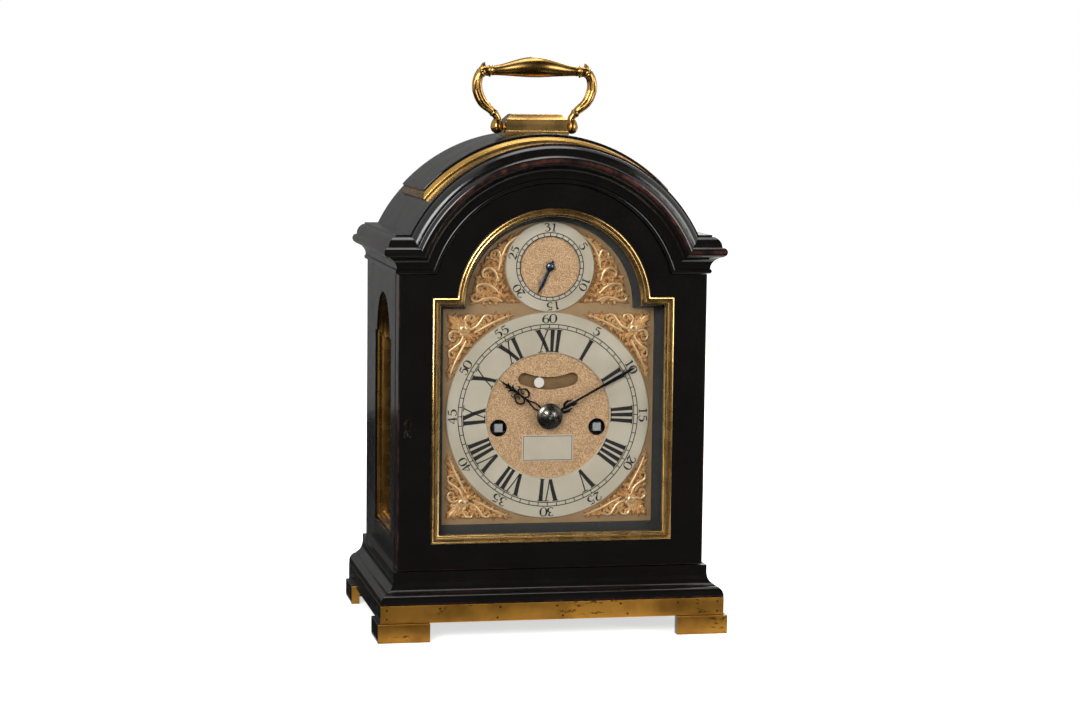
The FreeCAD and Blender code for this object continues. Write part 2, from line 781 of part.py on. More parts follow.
def dial_outline(margin, y0, y1):
    return arch_outline(dial_half_width - margin, dial_z - dial_bottom_drop + margin,
                        dial_z + dial_shoulder_rise - margin, dial_arch_radius - margin,
                        dial_z + dial_arch_rise, y0, y1)


def dial_mask():
    """The blue-black board round the dial, behind the door."""
    y1 = dial_front
    board = round_arch(inner_half, base_z, roof_radius - roof_thickness - glue_gap, arch_z,
                       y1 - mask_thickness, y1)
    below = box(-200, 200, y1 - 10, y1 + 1, cornice_z, 400).cut(
        rod((0, arch_z), roof_radius - roof_thickness - 0.2, y1 - 11, y1 + 2))
    return board.cut([dial_outline(mask_lip, y1 - 10, y1 + 1), below])


def slot_shape(margin, y0, y1):
    """The smile-shaped slot of the mock pendulum, an arc with round ends."""
    half = slot_width / 2 - margin
    ring = tube(pallet, slot_radius + half, slot_radius - half, y0, y1)
    far = 2 * slot_radius
    wedge = prism([pallet, polar(pallet, far, 180 + slot_half_angle), polar(pallet, far, 180 - slot_half_angle)],
                  y0, y1)
    ends = [rod(polar(pallet, slot_radius, 180 + side * slot_half_angle), half, y0, y1) for side in (-1, 1)]
    return join([ring.common(wedge)] + ends)


def dial_plate():
    """The arched brass dial plate with its four riveted feet."""
    plate = dial_outline(0.0, dial_front, dial_back)
    y0, y1 = dial_front - 1, dial_back + 1
    holes = [rod(place, collet_radius + 0.02, y0, y1) for place in (going, strike)]
    holes += [rod(centre, 5.9, y0, y1), rod((0, calendar_z), 1.6, y0, y1), slot_shape(0.0, y0, y1)]
    feet = [rod((x, dial_z + z), 2.5, dial_back, plate_front) for x in (-64, 64) for z in (-62, 62)]
    return join([plate.cut(holes)] + feet)


def chapter_ring():
    return tube(centre, chapter_outer, chapter_inner, dial_front - ring_thickness, dial_front)


def calendar_ring():
    return tube((0, calendar_z), calendar_outer, calendar_inner, dial_front - ring_thickness, dial_front)


def corner_spandrel(side, level):
    """A cast corner ornament: a lobed web between the chapter ring and the dial's corner."""
    y0 = dial_front - spandrel_thickness
    inner, outer_x = chapter_outer + 0.8, dial_half_width - 4.4
    outer_z = dial_shoulder_rise - 3.8 if level > 0 else dial_bottom_drop - 4.2
    body = prism([(24, outer_z), (24, 60), (60, 24), (outer_x, 24), (outer_x, outer_z)], y0, dial_front)
    scoops = [rod((outer_x + 1.5, 30 + 13 * i), 3.6, y0 - 1, dial_front + 1) for i in range(3)]
    scoops += [rod((30 + 13 * i, outer_z + 1.5), 3.6, y0 - 1, dial_front + 1) for i in range(3)]
    pierced = [rod((56, 56), 2.2, y0 - 1, dial_front + 1), rod((64.5, 47), 2.0, y0 - 1, dial_front + 1),
               rod((47, 64.5), 2.0, y0 - 1, dial_front + 1)]
    shape = body.cut([rod((0, 0), inner, y0 - 1, dial_front + 1)] + scoops + pierced)
    shape = max(shape.Solids, key=lambda s: s.Volume)
    if level < 0:
        shape = shape.mirror(V(0, 0, 0), V(0, 0, 1))
    if side < 0:
        shape = mirrored(shape)
    shape.translate(V(0, 0, dial_z))
    return shape


def arch_spandrel():
    """The cast ornament to the right of the calendar ring."""
    y0 = dial_front - spandrel_thickness
    arch_middle = (0, dial_z + dial_arch_rise)
    body = rod(arch_middle, dial_arch_radius - 3.6, y0, dial_front)
    body = body.common(box(8, 100, y0, dial_front, dial_z + dial_arch_rise + 1.5, calendar_z + 24))
    scoops = [rod(polar(arch_middle, dial_arch_radius - 2.4, 52 + 16 * i), 3.2, y0 - 1, dial_front + 1)
              for i in range(3)]
    shape = body.cut([rod((0, calendar_z), calendar_outer + 0.8, y0 - 1, dial_front + 1)] + scoops)
    return max(shape.Solids, key=lambda s: s.Volume)


def dial_spandrels():
    corners = [corner_spandrel(side, level) for side in (1, -1) for level in (1, -1)]
    arch = arch_spandrel()
    return group(corners + [arch, mirrored(arch)])


def name_plate():
    z = dial_z - name_plate_drop
    y0 = dial_front - 0.6
    return box(-name_plate_half, name_plate_half, y0, dial_front, z, z + name_plate_height)


def winding_collets():
    y0 = dial_front - 1.0
    return group([tube(place, collet_radius, 4.6, y0, dial_back) for place in (strike, going)])


# Hands

def minute_hand():
    """A long tapering blade with a scrolled shoulder, pointing at its rest angle."""
    y0 = hand_plane
    blade = [(-1.0, 4.0), (-1.2, 8.0), (-3.2, 20.0), (-1.5, 24.0), (-1.9, 27.0), (-0.9, 31.0), (-1.2, 52.0),
             (0.0, minute_length)]
    outline = blade + [(-x, z) for x, z in reversed(blade[:-1])]
    hand = join([prism(outline, y0, y0 + hand_thickness), rod((0, 0), 5.4, y0, y0 + hand_thickness)])
    hand = hand.cut(rod((0, 0), cannon_pipe_radius + 0.02, y0 - 1, y0 + 3))
    hand.translate(V(0, 0, dial_z))
    return turned(hand, centre, minute_angle)


def hour_hand():
    """A shorter hand whose stem opens into a pair of pierced scrolls below the tip."""
    y0 = hand_plane + hand_thickness + 0.8
    y1 = y0 + hand_thickness
    stem = prism([(-1.3, 6.0), (-0.9, hour_length - 8), (0, hour_length), (0.9, hour_length - 8), (1.3, 6.0)], y0, y1)
    loops = [tube((side * 2.9, z), r, r - 1.0, y0, y1) for side in (-1, 1) for z, r in ((20.5, 3.1), (27.5, 2.6))]
    cross = prism([(-5.5, 31.5), (0, 33.5), (5.5, 31.5), (0, 36.0)], y0, y1)
    hand = join([stem, cross, rod((0, 0), 7.4, y0, y1)] + loops)
    hand = hand.cut(rod((0, 0), hour_pipe_radius + 0.02, y0 - 1, y1 + 1))
    hand.translate(V(0, 0, dial_z))
    return turned(hand, centre, hour_angle)


def hand_boss():
    """The domed collet in front of the hands and the taper pin through the centre arbor."""
    y1 = hand_plane - 0.05
    sphere_radius = 13.0
    rise = sphere_radius - math.sqrt(sphere_radius ** 2 - boss_radius ** 2)
    ball = Part.makeSphere(sphere_radius, V(0, y1 - 0.6 - rise + sphere_radius, dial_z))
    dome = ball.common(rod(centre, boss_radius, y1 - 8, y1))
    dome = dome.cut(rod(centre, arbor_radius + 0.02, y1 - 10, y1 + 1))
    pin = Part.makeCylinder(0.7, 9.0, V(-4.5, y1 - 0.6 - rise + 0.6, dial_z), V(1, 0, 0))
    return join([dome, pin])


def calendar_hand():
    y0 = dial_front - ring_thickness - 1.6
    place = (0, calendar_z)
    hand = prism([(-0.9, -5.0), (-1.3, 4.0), (-0.8, 9.0), (-1.9, 12.0), (-0.6, 15.5), (0, calendar_hand_length),
                  (0.6, 15.5), (1.9, 12.0), (0.8, 9.0), (1.3, 4.0), (0.9, -5.0)], y0, y0 + 0.8)
    hub = [rod((0, 0), 2.5, y0 - 1.2, y0), rod((0, 0), 2.9, y0, y0 + 0.8)]
    hand = join([hand] + hub)
    hand.translate(V(0, 0, place[1]))
    return turned(hand, place, calendar_hand_angle)


# Movement

minute_place = (0.0, dial_z - cannon_module * (cannon_teeth + minute_wheel_teeth) / 2)
hour_module = 2 * (dial_z - minute_place[1]) / (minute_pinion_leaves + hour_wheel_teeth)
great_module = 2 * math.hypot(winding_spread, winding_drop) / (going_great_teeth + centre_pinion_leaves)


def meeting_place(a, b, reach_a, reach_b, side):
    """The point at two given distances from two places, on the stated side of their line."""
    dx, dz = b[0] - a[0], b[1] - a[1]
    span = math.hypot(dx, dz)
    along = (reach_a ** 2 - reach_b ** 2 + span ** 2) / (2 * span)
    off = side * math.sqrt(reach_a ** 2 - along ** 2)
    return (a[0] + (along * dx + off * dz) / span, a[1] + (along * dz - off * dx) / span)


def pitch(module, teeth, leaves):
    return module * (teeth + leaves) / 2


third = meeting_place(centre, escape, pitch(centre_module, centre_wheel_teeth, third_pinion_leaves),
                      pitch(third_module, third_wheel_teeth, escape_pinion_leaves), 1)
pin_place = polar(strike, pitch(strike_module, strike_great_teeth, pin_pinion_leaves), -10.0)
hoop_place = polar(pin_place, pitch(pin_module, pin_wheel_teeth, hoop_pinion_leaves), 8.0)
fly_place = polar(hoop_place, pitch(hoop_module, hoop_wheel_teeth, fly_pinion_leaves), 45.0)
going_barrel_place = (barrel_spread, dial_z - barrel_drop)
strike_barrel_place = (-barrel_spread, dial_z - barrel_drop)
hammer_place = (-hammer_spread, dial_z + hammer_rise)

bell_y = (plate_inner_front + plate_inner_back) / 2
bell_z = plate_z + plate_height + bell_rise
mock_arm_y = dial_back + mock_arm_gap
crutch_y = plate_back + crutch_gap
great_y = plate_inner_front + 2.5
cone_y = great_y + 5.0
cone_length = 36.0
pin_y = cone_y + cone_length + 2.5
centre_y = pin_y + 5.5
third_y = pin_y - 4.5
escape_y = third_y - 8.0
hoop_y = escape_y - 8.0


def mesh_phase(phase, teeth, place, other, other_teeth):
    """The turn of a wheel at 'other' that puts its gap opposite the first wheel's tooth."""
    heading = math.degrees(math.atan2(other[0] - place[0], other[1] - place[1]))
    into = (heading - phase) * teeth / 360.0
    return heading + 180.0 - (0.5 - into) * 360.0 / other_teeth


def toothed(place, teeth, module, y0, y1, phase, pinion=False):
    """A wheel or pinion blank with tapered teeth, running with ample backlash."""
    middle = module * teeth / 2
    tip = middle + module * (0.65 if pinion else 0.85)
    root = middle - module * (1.45 if pinion else 1.2)
    step = 360.0 / teeth
    wide, narrow = (0.20, 0.09) if pinion else (0.30, 0.07)
    spots = []
    for i in range(teeth):
        heading = phase + i * step
        for radius, share in ((root, -wide), (tip, -narrow), (tip, narrow), (root, wide)):
            spots.append(polar(place, radius, heading + share * step))
    return prism(spots, y0, y1)


def crossed(wheel, place, rim, hub, spoke, y0, y1):
    """Cuts the wheel's crossings, which leave four spokes."""
    window = tube(place, rim, hub, y0 - 1, y1 + 1)
    bars = [box(-rim, rim, y0 - 1, y1 + 1, -spoke / 2, spoke / 2),
            box(-spoke / 2, spoke / 2, y0 - 1, y1 + 1, -rim, rim)]
    cross = join(bars)
    cross.rotate(V(0, 0, 0), V(0, 1, 0), 45)
    cross.translate(V(place[0], 0, place[1]))
    return wheel.cut(window.cut(cross))


def arbor(place, radius):
    """A steel arbor between the plates, with a pivot through each plate."""
    body = rod(place, radius, plate_inner_front + end_shake, plate_inner_back - end_shake)
    return join([body, rod(place, pivot_radius, plate_front, plate_back)])


def wheel_on(place, teeth, module, y, thickness, phase, spoke=3.0):
    blank = toothed(place, teeth, module, y, y + thickness, phase)
    rim = module * teeth / 2 - module * 1.2 - 2.4
    return crossed(blank, place, rim, 5.0, spoke, y, y + thickness)


going_phase = 0.0
centre_pinion_phase = mesh_phase(going_phase, going_great_teeth, going, centre, centre_pinion_leaves)
centre_phase = 0.0
third_pinion_phase = mesh_phase(centre_phase, centre_wheel_teeth, centre, third, third_pinion_leaves)
third_phase = 0.0
escape_pinion_phase = mesh_phase(third_phase, third_wheel_teeth, third, escape, escape_pinion_leaves)
strike_phase = 0.0
pin_pinion_phase = mesh_phase(strike_phase, strike_great_teeth, strike, pin_place, pin_pinion_leaves)
pin_phase = 0.0
hoop_pinion_phase = mesh_phase(pin_phase, pin_wheel_teeth, pin_place, hoop_place, hoop_pinion_leaves)
hoop_phase = 0.0
fly_pinion_phase = mesh_phase(hoop_phase, hoop_wheel_teeth, hoop_place, fly_place, fly_pinion_leaves)
cannon_phase = 0.0
minute_wheel_phase = mesh_phase(cannon_phase, cannon_teeth, centre, minute_place, minute_wheel_teeth)
minute_pinion_phase = 0.0
hour_wheel_phase = mesh_phase(minute_pinion_phase, minute_pinion_leaves, minute_place, centre, hour_wheel_teeth)


def fusee(place, teeth, module, phase):
    """Great wheel, grooved cone and winding arbor with its square at the front."""
    y1 = great_y + 2.5
    wheel = toothed(place, teeth, module, great_y, y1, phase)
    turns = 9
    step = cone_length / turns
    profile = [(0.0, cone_y)]
    for i in range(turns):
        share = i / (turns - 1)
        radius = fusee_large_radius - (fusee_large_radius - fusee_small_radius) * share ** 0.75
        start = cone_y + i * step
        profile += [(radius, start), (radius, start + step * 0.4), (radius - 0.8, start + step * 0.55),
                    (radius - 0.8, start + step * 0.85)]
    profile += [(fusee_small_radius - 0.8, cone_y + cone_length), (0.0, cone_y + cone_length)]
    spots = [V(place[0] + r, y, place[1]) for r, y in profile]
    cone = Part.Face(Part.makePolygon(spots + spots[:1])).revolve(V(place[0], 0, place[1]), V(0, 1, 0), 360)
    half = winding_square / 2
    square = box(place[0] - half, place[0] + half, dial_front - 0.6, plate_front - 0.3,
                 place[1] - half, place[1] + half)
    front = rod(place, 4.0, plate_front - 0.3, cone_y)
    rear = rod(place, 2.6, cone_y + cone_length, plate_inner_back - 0.3)
    return join([wheel, cone, square, front, rear, rod(place, pivot_radius, plate_inner_back - 0.3, plate_back)])


def going_fusee():
    return fusee(going, going_great_teeth, great_module, going_phase)


def strike_fusee():
    return fusee(strike, strike_great_teeth, strike_module, strike_phase)


def barrel(place):
    """A spring barrel: a drum with two raised rims on its arbor."""
    drum = rod(place, barrel_radius - 0.8, cone_y, cone_y + cone_length)
    rims = [rod(place, barrel_radius, y, y + 1.5) for y in (cone_y, cone_y + cone_length - 1.5)]
    return join([drum, arbor(place, barrel_arbor_radius)] + rims)


def going_barrel():
    return barrel(going_barrel_place)


def strike_barrel():
    return barrel(strike_barrel_place)


def gut_line(place, barrel_place, y):
    """The taut stretch of line between the fusee and its barrel."""
    side = 1 if place[0] > 0 else -1
    gap = 0.5
    x0 = place[0] + side * (fusee_large_radius + gap)
    x1 = barrel_place[0] + side * (barrel_radius + gap)
    start, end = V(x0, y, place[1]), V(x1, y, barrel_place[1])
    return Part.makeCylinder(0.5, (end - start).Length, start, end - start)


def gut_lines():
    y = cone_y + 2.6
    return group([gut_line(going, going_barrel_place, y), gut_line(strike, strike_barrel_place, y)])


def centre_wheel():
    """Centre arbor with its pinion, and the wheel that drives the third arbor."""
    pinion = toothed(centre, centre_pinion_leaves, great_module, great_y - 1.2, great_y + 3.7,
                     centre_pinion_phase, True)
    wheel = wheel_on(centre, centre_wheel_teeth, centre_module, centre_y, 2.0, centre_phase)
    nose = rod(centre, 1.5, hand_plane - 3.0, plate_inner_front + 0.3)
    body = rod(centre, arbor_radius, plate_inner_front + 0.3, plate_inner_back - 0.3)
    return join([pinion, wheel, nose, body, rod(centre, pivot_radius, plate_inner_back - 1, plate_back)])


def third_wheel():
    pinion = toothed(third, third_pinion_leaves, centre_module, centre_y - 1.2, centre_y + 3.2,
                     third_pinion_phase, True)
    wheel = wheel_on(third, third_wheel_teeth, third_module, third_y, 1.8, third_phase)
    return join([pinion, wheel, arbor(third, light_arbor_radius)])


def escape_wheel():
    """The escape wheel, whose pointed teeth lean forward, and its pinion."""
    y0, y1 = escape_y, escape_y + 1.6
    pinion = toothed(escape, escape_pinion_leaves, third_module, third_y - 1.2, third_y + 3.0,
                     escape_pinion_phase, True)
    step = 360.0 / escape_teeth
    spots = []
    for i in range(escape_teeth):
        heading = i * step
        spots += [polar(escape, escape_radius - 2.2, heading - step * 0.45), polar(escape, escape_radius, heading),
                  polar(escape, escape_radius - 2.2, heading + step * 0.12)]
    wheel = crossed(prism(spots, y0, y1), escape, escape_radius - 4.0, 3.6, 1.8, y0, y1)
    return join([pinion, wheel, arbor(escape, light_arbor_radius)])


def pallets():
    """The pallet arbor with its anchor, which reaches from the dial to behind the back plate."""
    y0, y1 = escape_y - 0.7, escape_y + 2.3
    tip_gap = 1.6
    reach = escape_radius + tip_gap
    left = polar(escape, reach, -46.0)
    outer = polar(escape, reach + 2.6, -50.0)
    arm = prism([(pallet[0], pallet[1] + 2.4), (outer[0] - 1.0, outer[1] + 3.4), (outer[0], outer[1] - 2.4), left,
                 (left[0] + 2.4, left[1] + 2.8), (pallet[0], pallet[1] - 2.6)], y0, y1)
    hub = rod(pallet, 3.4, y0, y1)
    staff = rod(pallet, pivot_radius + 0.5, mock_arm_y + 0.8, crutch_y)
    return join([arm, mirrored(arm), hub, staff])


def mock_bob():
    """The false pendulum seen through the dial: a thin arm and a silvered disc."""
    reach = slot_radius
    arm = prism([(-0.8, 0), (0.8, 0), (0.8, -reach), (-0.8, -reach)], mock_arm_y, mock_arm_y + 0.8)
    disc = rod((0, -reach), mock_bob_radius, mock_arm_y - 1.4, mock_arm_y)
    arm = join([arm, rod((0, 0), 2.6, mock_arm_y, mock_arm_y + 0.8), disc])
    arm.translate(V(0, 0, pallet_z))
    return turned(arm, pallet, mock_bob_angle)


def pendulum():
    """The short pendulum behind the back plate, on the pallet arbor, with its lens bob."""
    y0 = crutch_y
    bottom = pallet_z - pendulum_length
    stem = join([rod(pallet, 3.0, y0, y0 + 2.4), box(-1.2, 1.2, y0, y0 + 2.4, bottom - bob_radius - 5, pallet_z)])
    sphere_radius = 34.0
    rise = sphere_radius - math.sqrt(sphere_radius ** 2 - bob_radius ** 2)
    middle = y0 + 1.2
    front = Part.makeSphere(sphere_radius, V(0, middle - rise + sphere_radius, bottom))
    back = Part.makeSphere(sphere_radius, V(0, middle + rise - sphere_radius, bottom))
    return join([stem, front.common(back)])


def pin_wheel():
    """The strike's pin wheel, with eight lifting pins on its front."""
    pinion = toothed(pin_place, pin_pinion_leaves, strike_module, great_y - 1.2, great_y + 3.7,
                     pin_pinion_phase, True)
    wheel = wheel_on(pin_place, pin_wheel_teeth, pin_module, pin_y, 1.8, pin_phase)
    pins = [rod(polar(pin_place, pin_circle, 45 * i + 20), 0.8, pin_y - 3.0, pin_y) for i in range(8)]
    return join([pinion, wheel, arbor(pin_place, light_arbor_radius)] + pins)


def hoop_wheel():
    """The locking wheel with its raised hoop."""
    pinion = toothed(hoop_place, hoop_pinion_leaves, pin_module, pin_y - 1.2, pin_y + 3.0,
                     hoop_pinion_phase, True)
    wheel = wheel_on(hoop_place, hoop_wheel_teeth, hoop_module, hoop_y, 1.6, hoop_phase)
    hoop = tube(hoop_place, 12.6, 11.6, hoop_y + 1.6, hoop_y + 3.6)
    return join([pinion, wheel, hoop, arbor(hoop_place, light_arbor_radius)])


def fly():
    """The air brake: two thin vanes on the last arbor of the strike."""
    pinion = toothed(fly_place, fly_pinion_leaves, hoop_module, hoop_y - 1.0, hoop_y + 2.6,
                     fly_pinion_phase, True)
    vane = box(fly_place[0] - 7.0, fly_place[0] + 7.0, hoop_y + 6, hoop_y + 26,
               fly_place[1] - 0.5, fly_place[1] + 0.5)
    return join([pinion, vane, arbor(fly_place, light_arbor_radius)])


def hammer():
    """The strike hammer on its arbor, with a tail to the lifting pins."""
    head_x = -bell_radius - 1.0
    head_z = bell_z + 4.0
    y0, y1 = bell_y - 1.0, bell_y + 1.0
    stem = prism([(hammer_place[0] - 1.2, hammer_place[1]), (hammer_place[0] + 1.2, hammer_place[1]),
                  (head_x - 5.0, head_z), (head_x - 7.4, head_z)], y0, y1)
    head = Part.makeCylinder(3.6, 8.0, V(head_x - 9.5, bell_y, head_z), V(1, 0, 0))
    tail_end = polar(pin_place, pin_circle + 2.2, -40.0)
    tail = prism([(hammer_place[0] - 1.6, hammer_place[1] - 1.0), (tail_end[0] - 1.2, tail_end[1] - 0.2),
                  (tail_end[0] + 0.6, tail_end[1] + 1.2), (hammer_place[0] + 1.6, hammer_place[1] + 1.2)],
                 pin_y - 3.0, pin_y - 0.8)
    return join([stem, head, tail, arbor(hammer_place, arbor_radius)])


def cannon_pinion():
    """The cannon pinion, whose pipe carries the minute hand and slips on the centre arbor."""
    gear = toothed(centre, cannon_teeth, cannon_module, plate_front - 4.2, plate_front - 1.8, cannon_phase)
    pipe = rod(centre, cannon_pipe_radius, hand_plane, plate_front - 1.8)
    return join([gear, pipe]).cut(rod(centre, 1.5 + running_clearance, hand_plane - 1, plate_front))


def minute_wheel():
    wheel = toothed(minute_place, minute_wheel_teeth, cannon_module, plate_front - 3.9, plate_front - 2.1,
                    minute_wheel_phase)
    pinion = toothed(minute_place, minute_pinion_leaves, hour_module, plate_front - 8.4, plate_front - 3.9,
                     minute_pinion_phase, True)
    return join([wheel, pinion]).cut(rod(minute_place, 1.5 + running_clearance, plate_front - 20, plate_front))


def hour_wheel():
    """The hour wheel on its pipe, which carries the hour hand."""
    wheel = toothed(centre, hour_wheel_teeth, hour_module, plate_front - 7.8, plate_front - 6.2, hour_wheel_phase)
    pipe = rod(centre, hour_pipe_radius, hand_plane + hand_thickness + 0.8, plate_front - 6.2)
    bore = rod(centre, cannon_pipe_radius + running_clearance, hand_plane, plate_front)
    return join([wheel, pipe]).cut(bore)


def calendar_star():
    """The calendar's star wheel behind the dial, on the arbor of its hand."""
    place = (0, calendar_z)
    y0 = dial_back + 1.4
    star = toothed(place, calendar_star_teeth, 1.2, y0, y0 + 1.2, 0.0)
    staff = rod(place, 1.55, dial_front - ring_thickness - 0.8, y0)
    return join([star, staff])


def plate_holes(y0, y1, is_front):
    holes = [rod(place, pivot_radius + running_clearance, y0 - 1, y1 + 1) for place in
             (third, escape, pin_place, hoop_place, fly_place, hammer_place,
              going_barrel_place, strike_barrel_place)]
    winding = 4.0 if is_front else pivot_radius
    holes += [rod(place, winding + running_clearance, y0 - 1, y1 + 1) for place in (going, strike)]
    middle = 1.5 if is_front else pivot_radius
    holes.append(rod(centre, middle + running_clearance, y0 - 1, y1 + 1))
    holes.append(rod(pallet, pivot_radius + 0.5 + running_clearance, y0 - 1, y1 + 1))
    return holes


def movement_plate(y0, is_front):
    y1 = y0 + plate_thickness
    plate = box(-plate_half_width, plate_half_width, y0, y1, plate_z, plate_z + plate_height)
    return plate.cut(plate_holes(y0, y1, is_front))


def front_plate():
    """The front plate, with the post of the motion work riveted in it."""
    stud = rod(minute_place, 1.5, plate_front - 8.6, plate_front)
    shoulder = rod(minute_place, 3.0, plate_front - 1.8, plate_front)
    return join([movement_plate(plate_front, True), stud, shoulder])


def back_plate():
    return movement_plate(plate_inner_back, False)


def plate_pillars():
    """Five turned pillars with a knop at the middle."""
    end, middle = plate_spacing, plate_spacing / 2
    profile = [(0, 0), (4.6, 0), (4.6, 2), (3.0, 4), (3.0, middle - 9), (5.2, middle - 3), (5.2, middle + 3),
               (3.0, middle + 9), (3.0, end - 4), (4.6, end - 2), (4.6, end), (0, end)]
    low, high = plate_z + 8, plate_z + plate_height - 8
    pillars = []
    for x, z in ((-66, low), (66, low), (-66, high), (66, high), (0, low)):
        spots = [V(x + r, plate_inner_front + y, z) for r, y in profile]
        face = Part.Face(Part.makePolygon(spots + spots[:1]))
        pillars.append(face.revolve(V(x, 0, z), V(0, 1, 0), 360))
    return group(pillars)


def bell():
    """A cup-shaped bell with its mouth down."""
    inner, outer = bell_radius - 1.8, bell_radius
    top = bell_height
    steps = [[(outer, 0.0)], [(outer * 0.93, top * 0.62), (outer * 0.62, top * 0.93)], [(2.2, top)],
             [(2.2, top - 1.8)], [(outer * 0.60, top * 0.93 - 2.0)],
             [(inner * 0.91, top * 0.60), (inner - 0.6, 0.0)]]
    face = section(steps, lambda r, t: V(r, bell_y, bell_z + t))
    return face.revolve(V(0, bell_y, 0), V(0, 0, 1), 360)


def bell_stand():
    """The bracket on the back plate and the post that holds the bell, with its nut."""
    foot = box(-4, 4, plate_back, plate_back + 2.5, plate_z + plate_height - 10, bell_z - 5)
    arm = box(-4, 4, bell_y - 4, plate_back + 2.5, bell_z - 7.5, bell_z - 5)
    stem = post(0, bell_y, 2.0, bell_z - 5, bell_z + bell_height + 4)
    collar = post(0, bell_y, 4.0, bell_z + bell_height - 5.6, bell_z + bell_height - 2.7)
    nut = post(0, bell_y, 4.0, bell_z + bell_height + 0.1, bell_z + bell_height + 3)
    return join([foot, arm, stem, collar, nut])


nodes = [
    bracket_feet, base_facings, base_board, plinth_moulding, side_panel_left, side_panel_right,
    window_linings, side_glasses, roof_shell, cornice_mouldings, arch_moulding, pad_moulding, roof_pad,
    handle_base, bail_handle, back_frame, seat_board, hinge_pins,
    door_frame, door_bezel, door_glass, keyhole_escutcheon, lock_bolt, back_door_frame, back_door_glass,
    dial_mask, dial_plate, chapter_ring, calendar_ring, dial_spandrels, name_plate, winding_collets,
    minute_hand, hour_hand, hand_boss, calendar_hand, calendar_star,
    front_plate, back_plate, plate_pillars, bell, bell_stand, gut_lines,
    going_fusee, strike_fusee, going_barrel, strike_barrel, centre_wheel, third_wheel, escape_wheel,
    pallets, mock_bob, pendulum, pin_wheel, hoop_wheel, fly, hammer,
    cannon_pinion, minute_wheel, hour_wheel,
]

os.makedirs("parts", exist_ok=True)
for node in nodes:
    shape = node()
    solids = shape.Solids
    print(node.__name__, len(solids), "solids", round(sum(s.Volume for s in solids), 1), "mm3",
          "" if shape.isValid() else "NOT VALID")
    shape.exportStep("parts/" + node.__name__ + ".step")
print(len(nodes), "nodes")
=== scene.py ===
import bpy
import bmesh
import math
import numpy as np
from mathutils import Matrix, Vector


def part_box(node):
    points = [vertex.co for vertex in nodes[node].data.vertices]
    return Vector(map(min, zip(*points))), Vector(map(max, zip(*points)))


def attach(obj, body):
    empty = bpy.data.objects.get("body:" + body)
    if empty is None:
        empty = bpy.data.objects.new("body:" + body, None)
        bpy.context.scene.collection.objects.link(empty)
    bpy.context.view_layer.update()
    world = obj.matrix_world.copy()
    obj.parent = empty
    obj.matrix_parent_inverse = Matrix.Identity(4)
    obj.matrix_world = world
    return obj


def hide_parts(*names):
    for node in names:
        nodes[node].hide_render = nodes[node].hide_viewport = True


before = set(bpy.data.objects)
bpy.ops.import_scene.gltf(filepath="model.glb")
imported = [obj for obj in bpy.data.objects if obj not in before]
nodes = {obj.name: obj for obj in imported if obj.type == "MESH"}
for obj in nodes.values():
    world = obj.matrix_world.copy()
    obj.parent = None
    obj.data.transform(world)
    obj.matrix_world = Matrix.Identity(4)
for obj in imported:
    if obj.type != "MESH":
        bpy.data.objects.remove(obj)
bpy.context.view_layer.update()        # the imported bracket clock: bodies, nodes, joints and record
mm = 0.001


# Where the frame puts the main features, in millimetres

def nodeBox(name):
    low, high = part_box(name)
    return np.array(low) / mm, np.array(high) / mm


def ringOf(name):
    # centre (x, z), outer radius, front and back of a flat ring
    low, high = nodeBox(name)
    return np.array([0.0, (low[2] + high[2]) / 2]), (high[0] - low[0]) / 2, low[1], high[1]


dialCentre, chapterOuter, chapterFace, dialFront = ringOf("chapter_ring")
calendarCentre, calendarOuter, calendarFace, _ = ringOf("calendar_ring")
doorFront = nodeBox("door_frame")[0][1]
corniceTop = nodeBox("side_panel_right")[1][2]
corniceHeight = 27.0
roofRadius = 112.6
archInner = roofRadius - corniceHeight
archZ = nodeBox("roof_shell")[1][2] - roofRadius
print("frame read: dial centre", dialCentre.round(2), "arch centre height", round(archZ, 2))


# Nodes and colours

def hexColour(text):
    # sRGB hex to linear: c / 12.92 below 0.04045, else ((c + 0.055) / 1.055) to the power 2.4
    c = np.array([int(text[i:i + 2], 16) / 255 for i in (1, 3, 5)])
    linear = np.where(c <= 0.04045, c / 12.92, ((c + 0.055) / 1.055) ** 2.4)
    return (*linear.tolist(), 1.0)


def fill(socket, value):
    # a socket takes a number, a hex colour or the output of another node
    if isinstance(value, bpy.types.NodeSocket):
        socket.id_data.links.new(value, socket)
    else:
        socket.default_value = hexColour(value) if isinstance(value, str) else value


def addNode(tree, kind, settings=None, sockets=None):
    # adds a node, sets its properties, then fills its sockets
    node = tree.nodes.new("ShaderNode" + kind)
    for name, value in (settings or {}).items():
        setattr(node, name, value)
    for name, value in (sockets or {}).items():
        fill(node.inputs[name], value)
    return node


def noise(tree, place, size, detail=2.0, roughness=0.5):
    # fractal noise from 0 to 1 whose largest features are this many millimetres
    return addNode(tree, "TexNoise", {}, {"Vector": place, "Scale": 1000.0 / size, "Detail": detail,
                                          "Roughness": roughness}).outputs[0]


def remap(tree, value, low, high, toLow, toHigh, kind="LINEAR"):
    # carries low..high to toLow..toHigh, and holds the value at the ends
    return addNode(tree, "MapRange", {"interpolation_type": kind},
                   {0: value, 1: low, 2: high, 3: toLow, 4: toHigh}).outputs[0]


def calc(tree, operation, *values):
    return addNode(tree, "Math", {"operation": operation}, dict(enumerate(values))).outputs[0]


def blend(tree, share, first, second):
    # the first colour where the share is 0 and the second where it is 1
    return addNode(tree, "Mix", {"data_type": "RGBA"}, {0: share, 6: first, 7: second}).outputs[2]


def stretched(tree, place, scale):
    return addNode(tree, "Mapping", {}, {"Vector": place, "Scale": scale}).outputs[0]


def axes(tree, place):
    return addNode(tree, "SeparateXYZ", {}, {0: place}).outputs


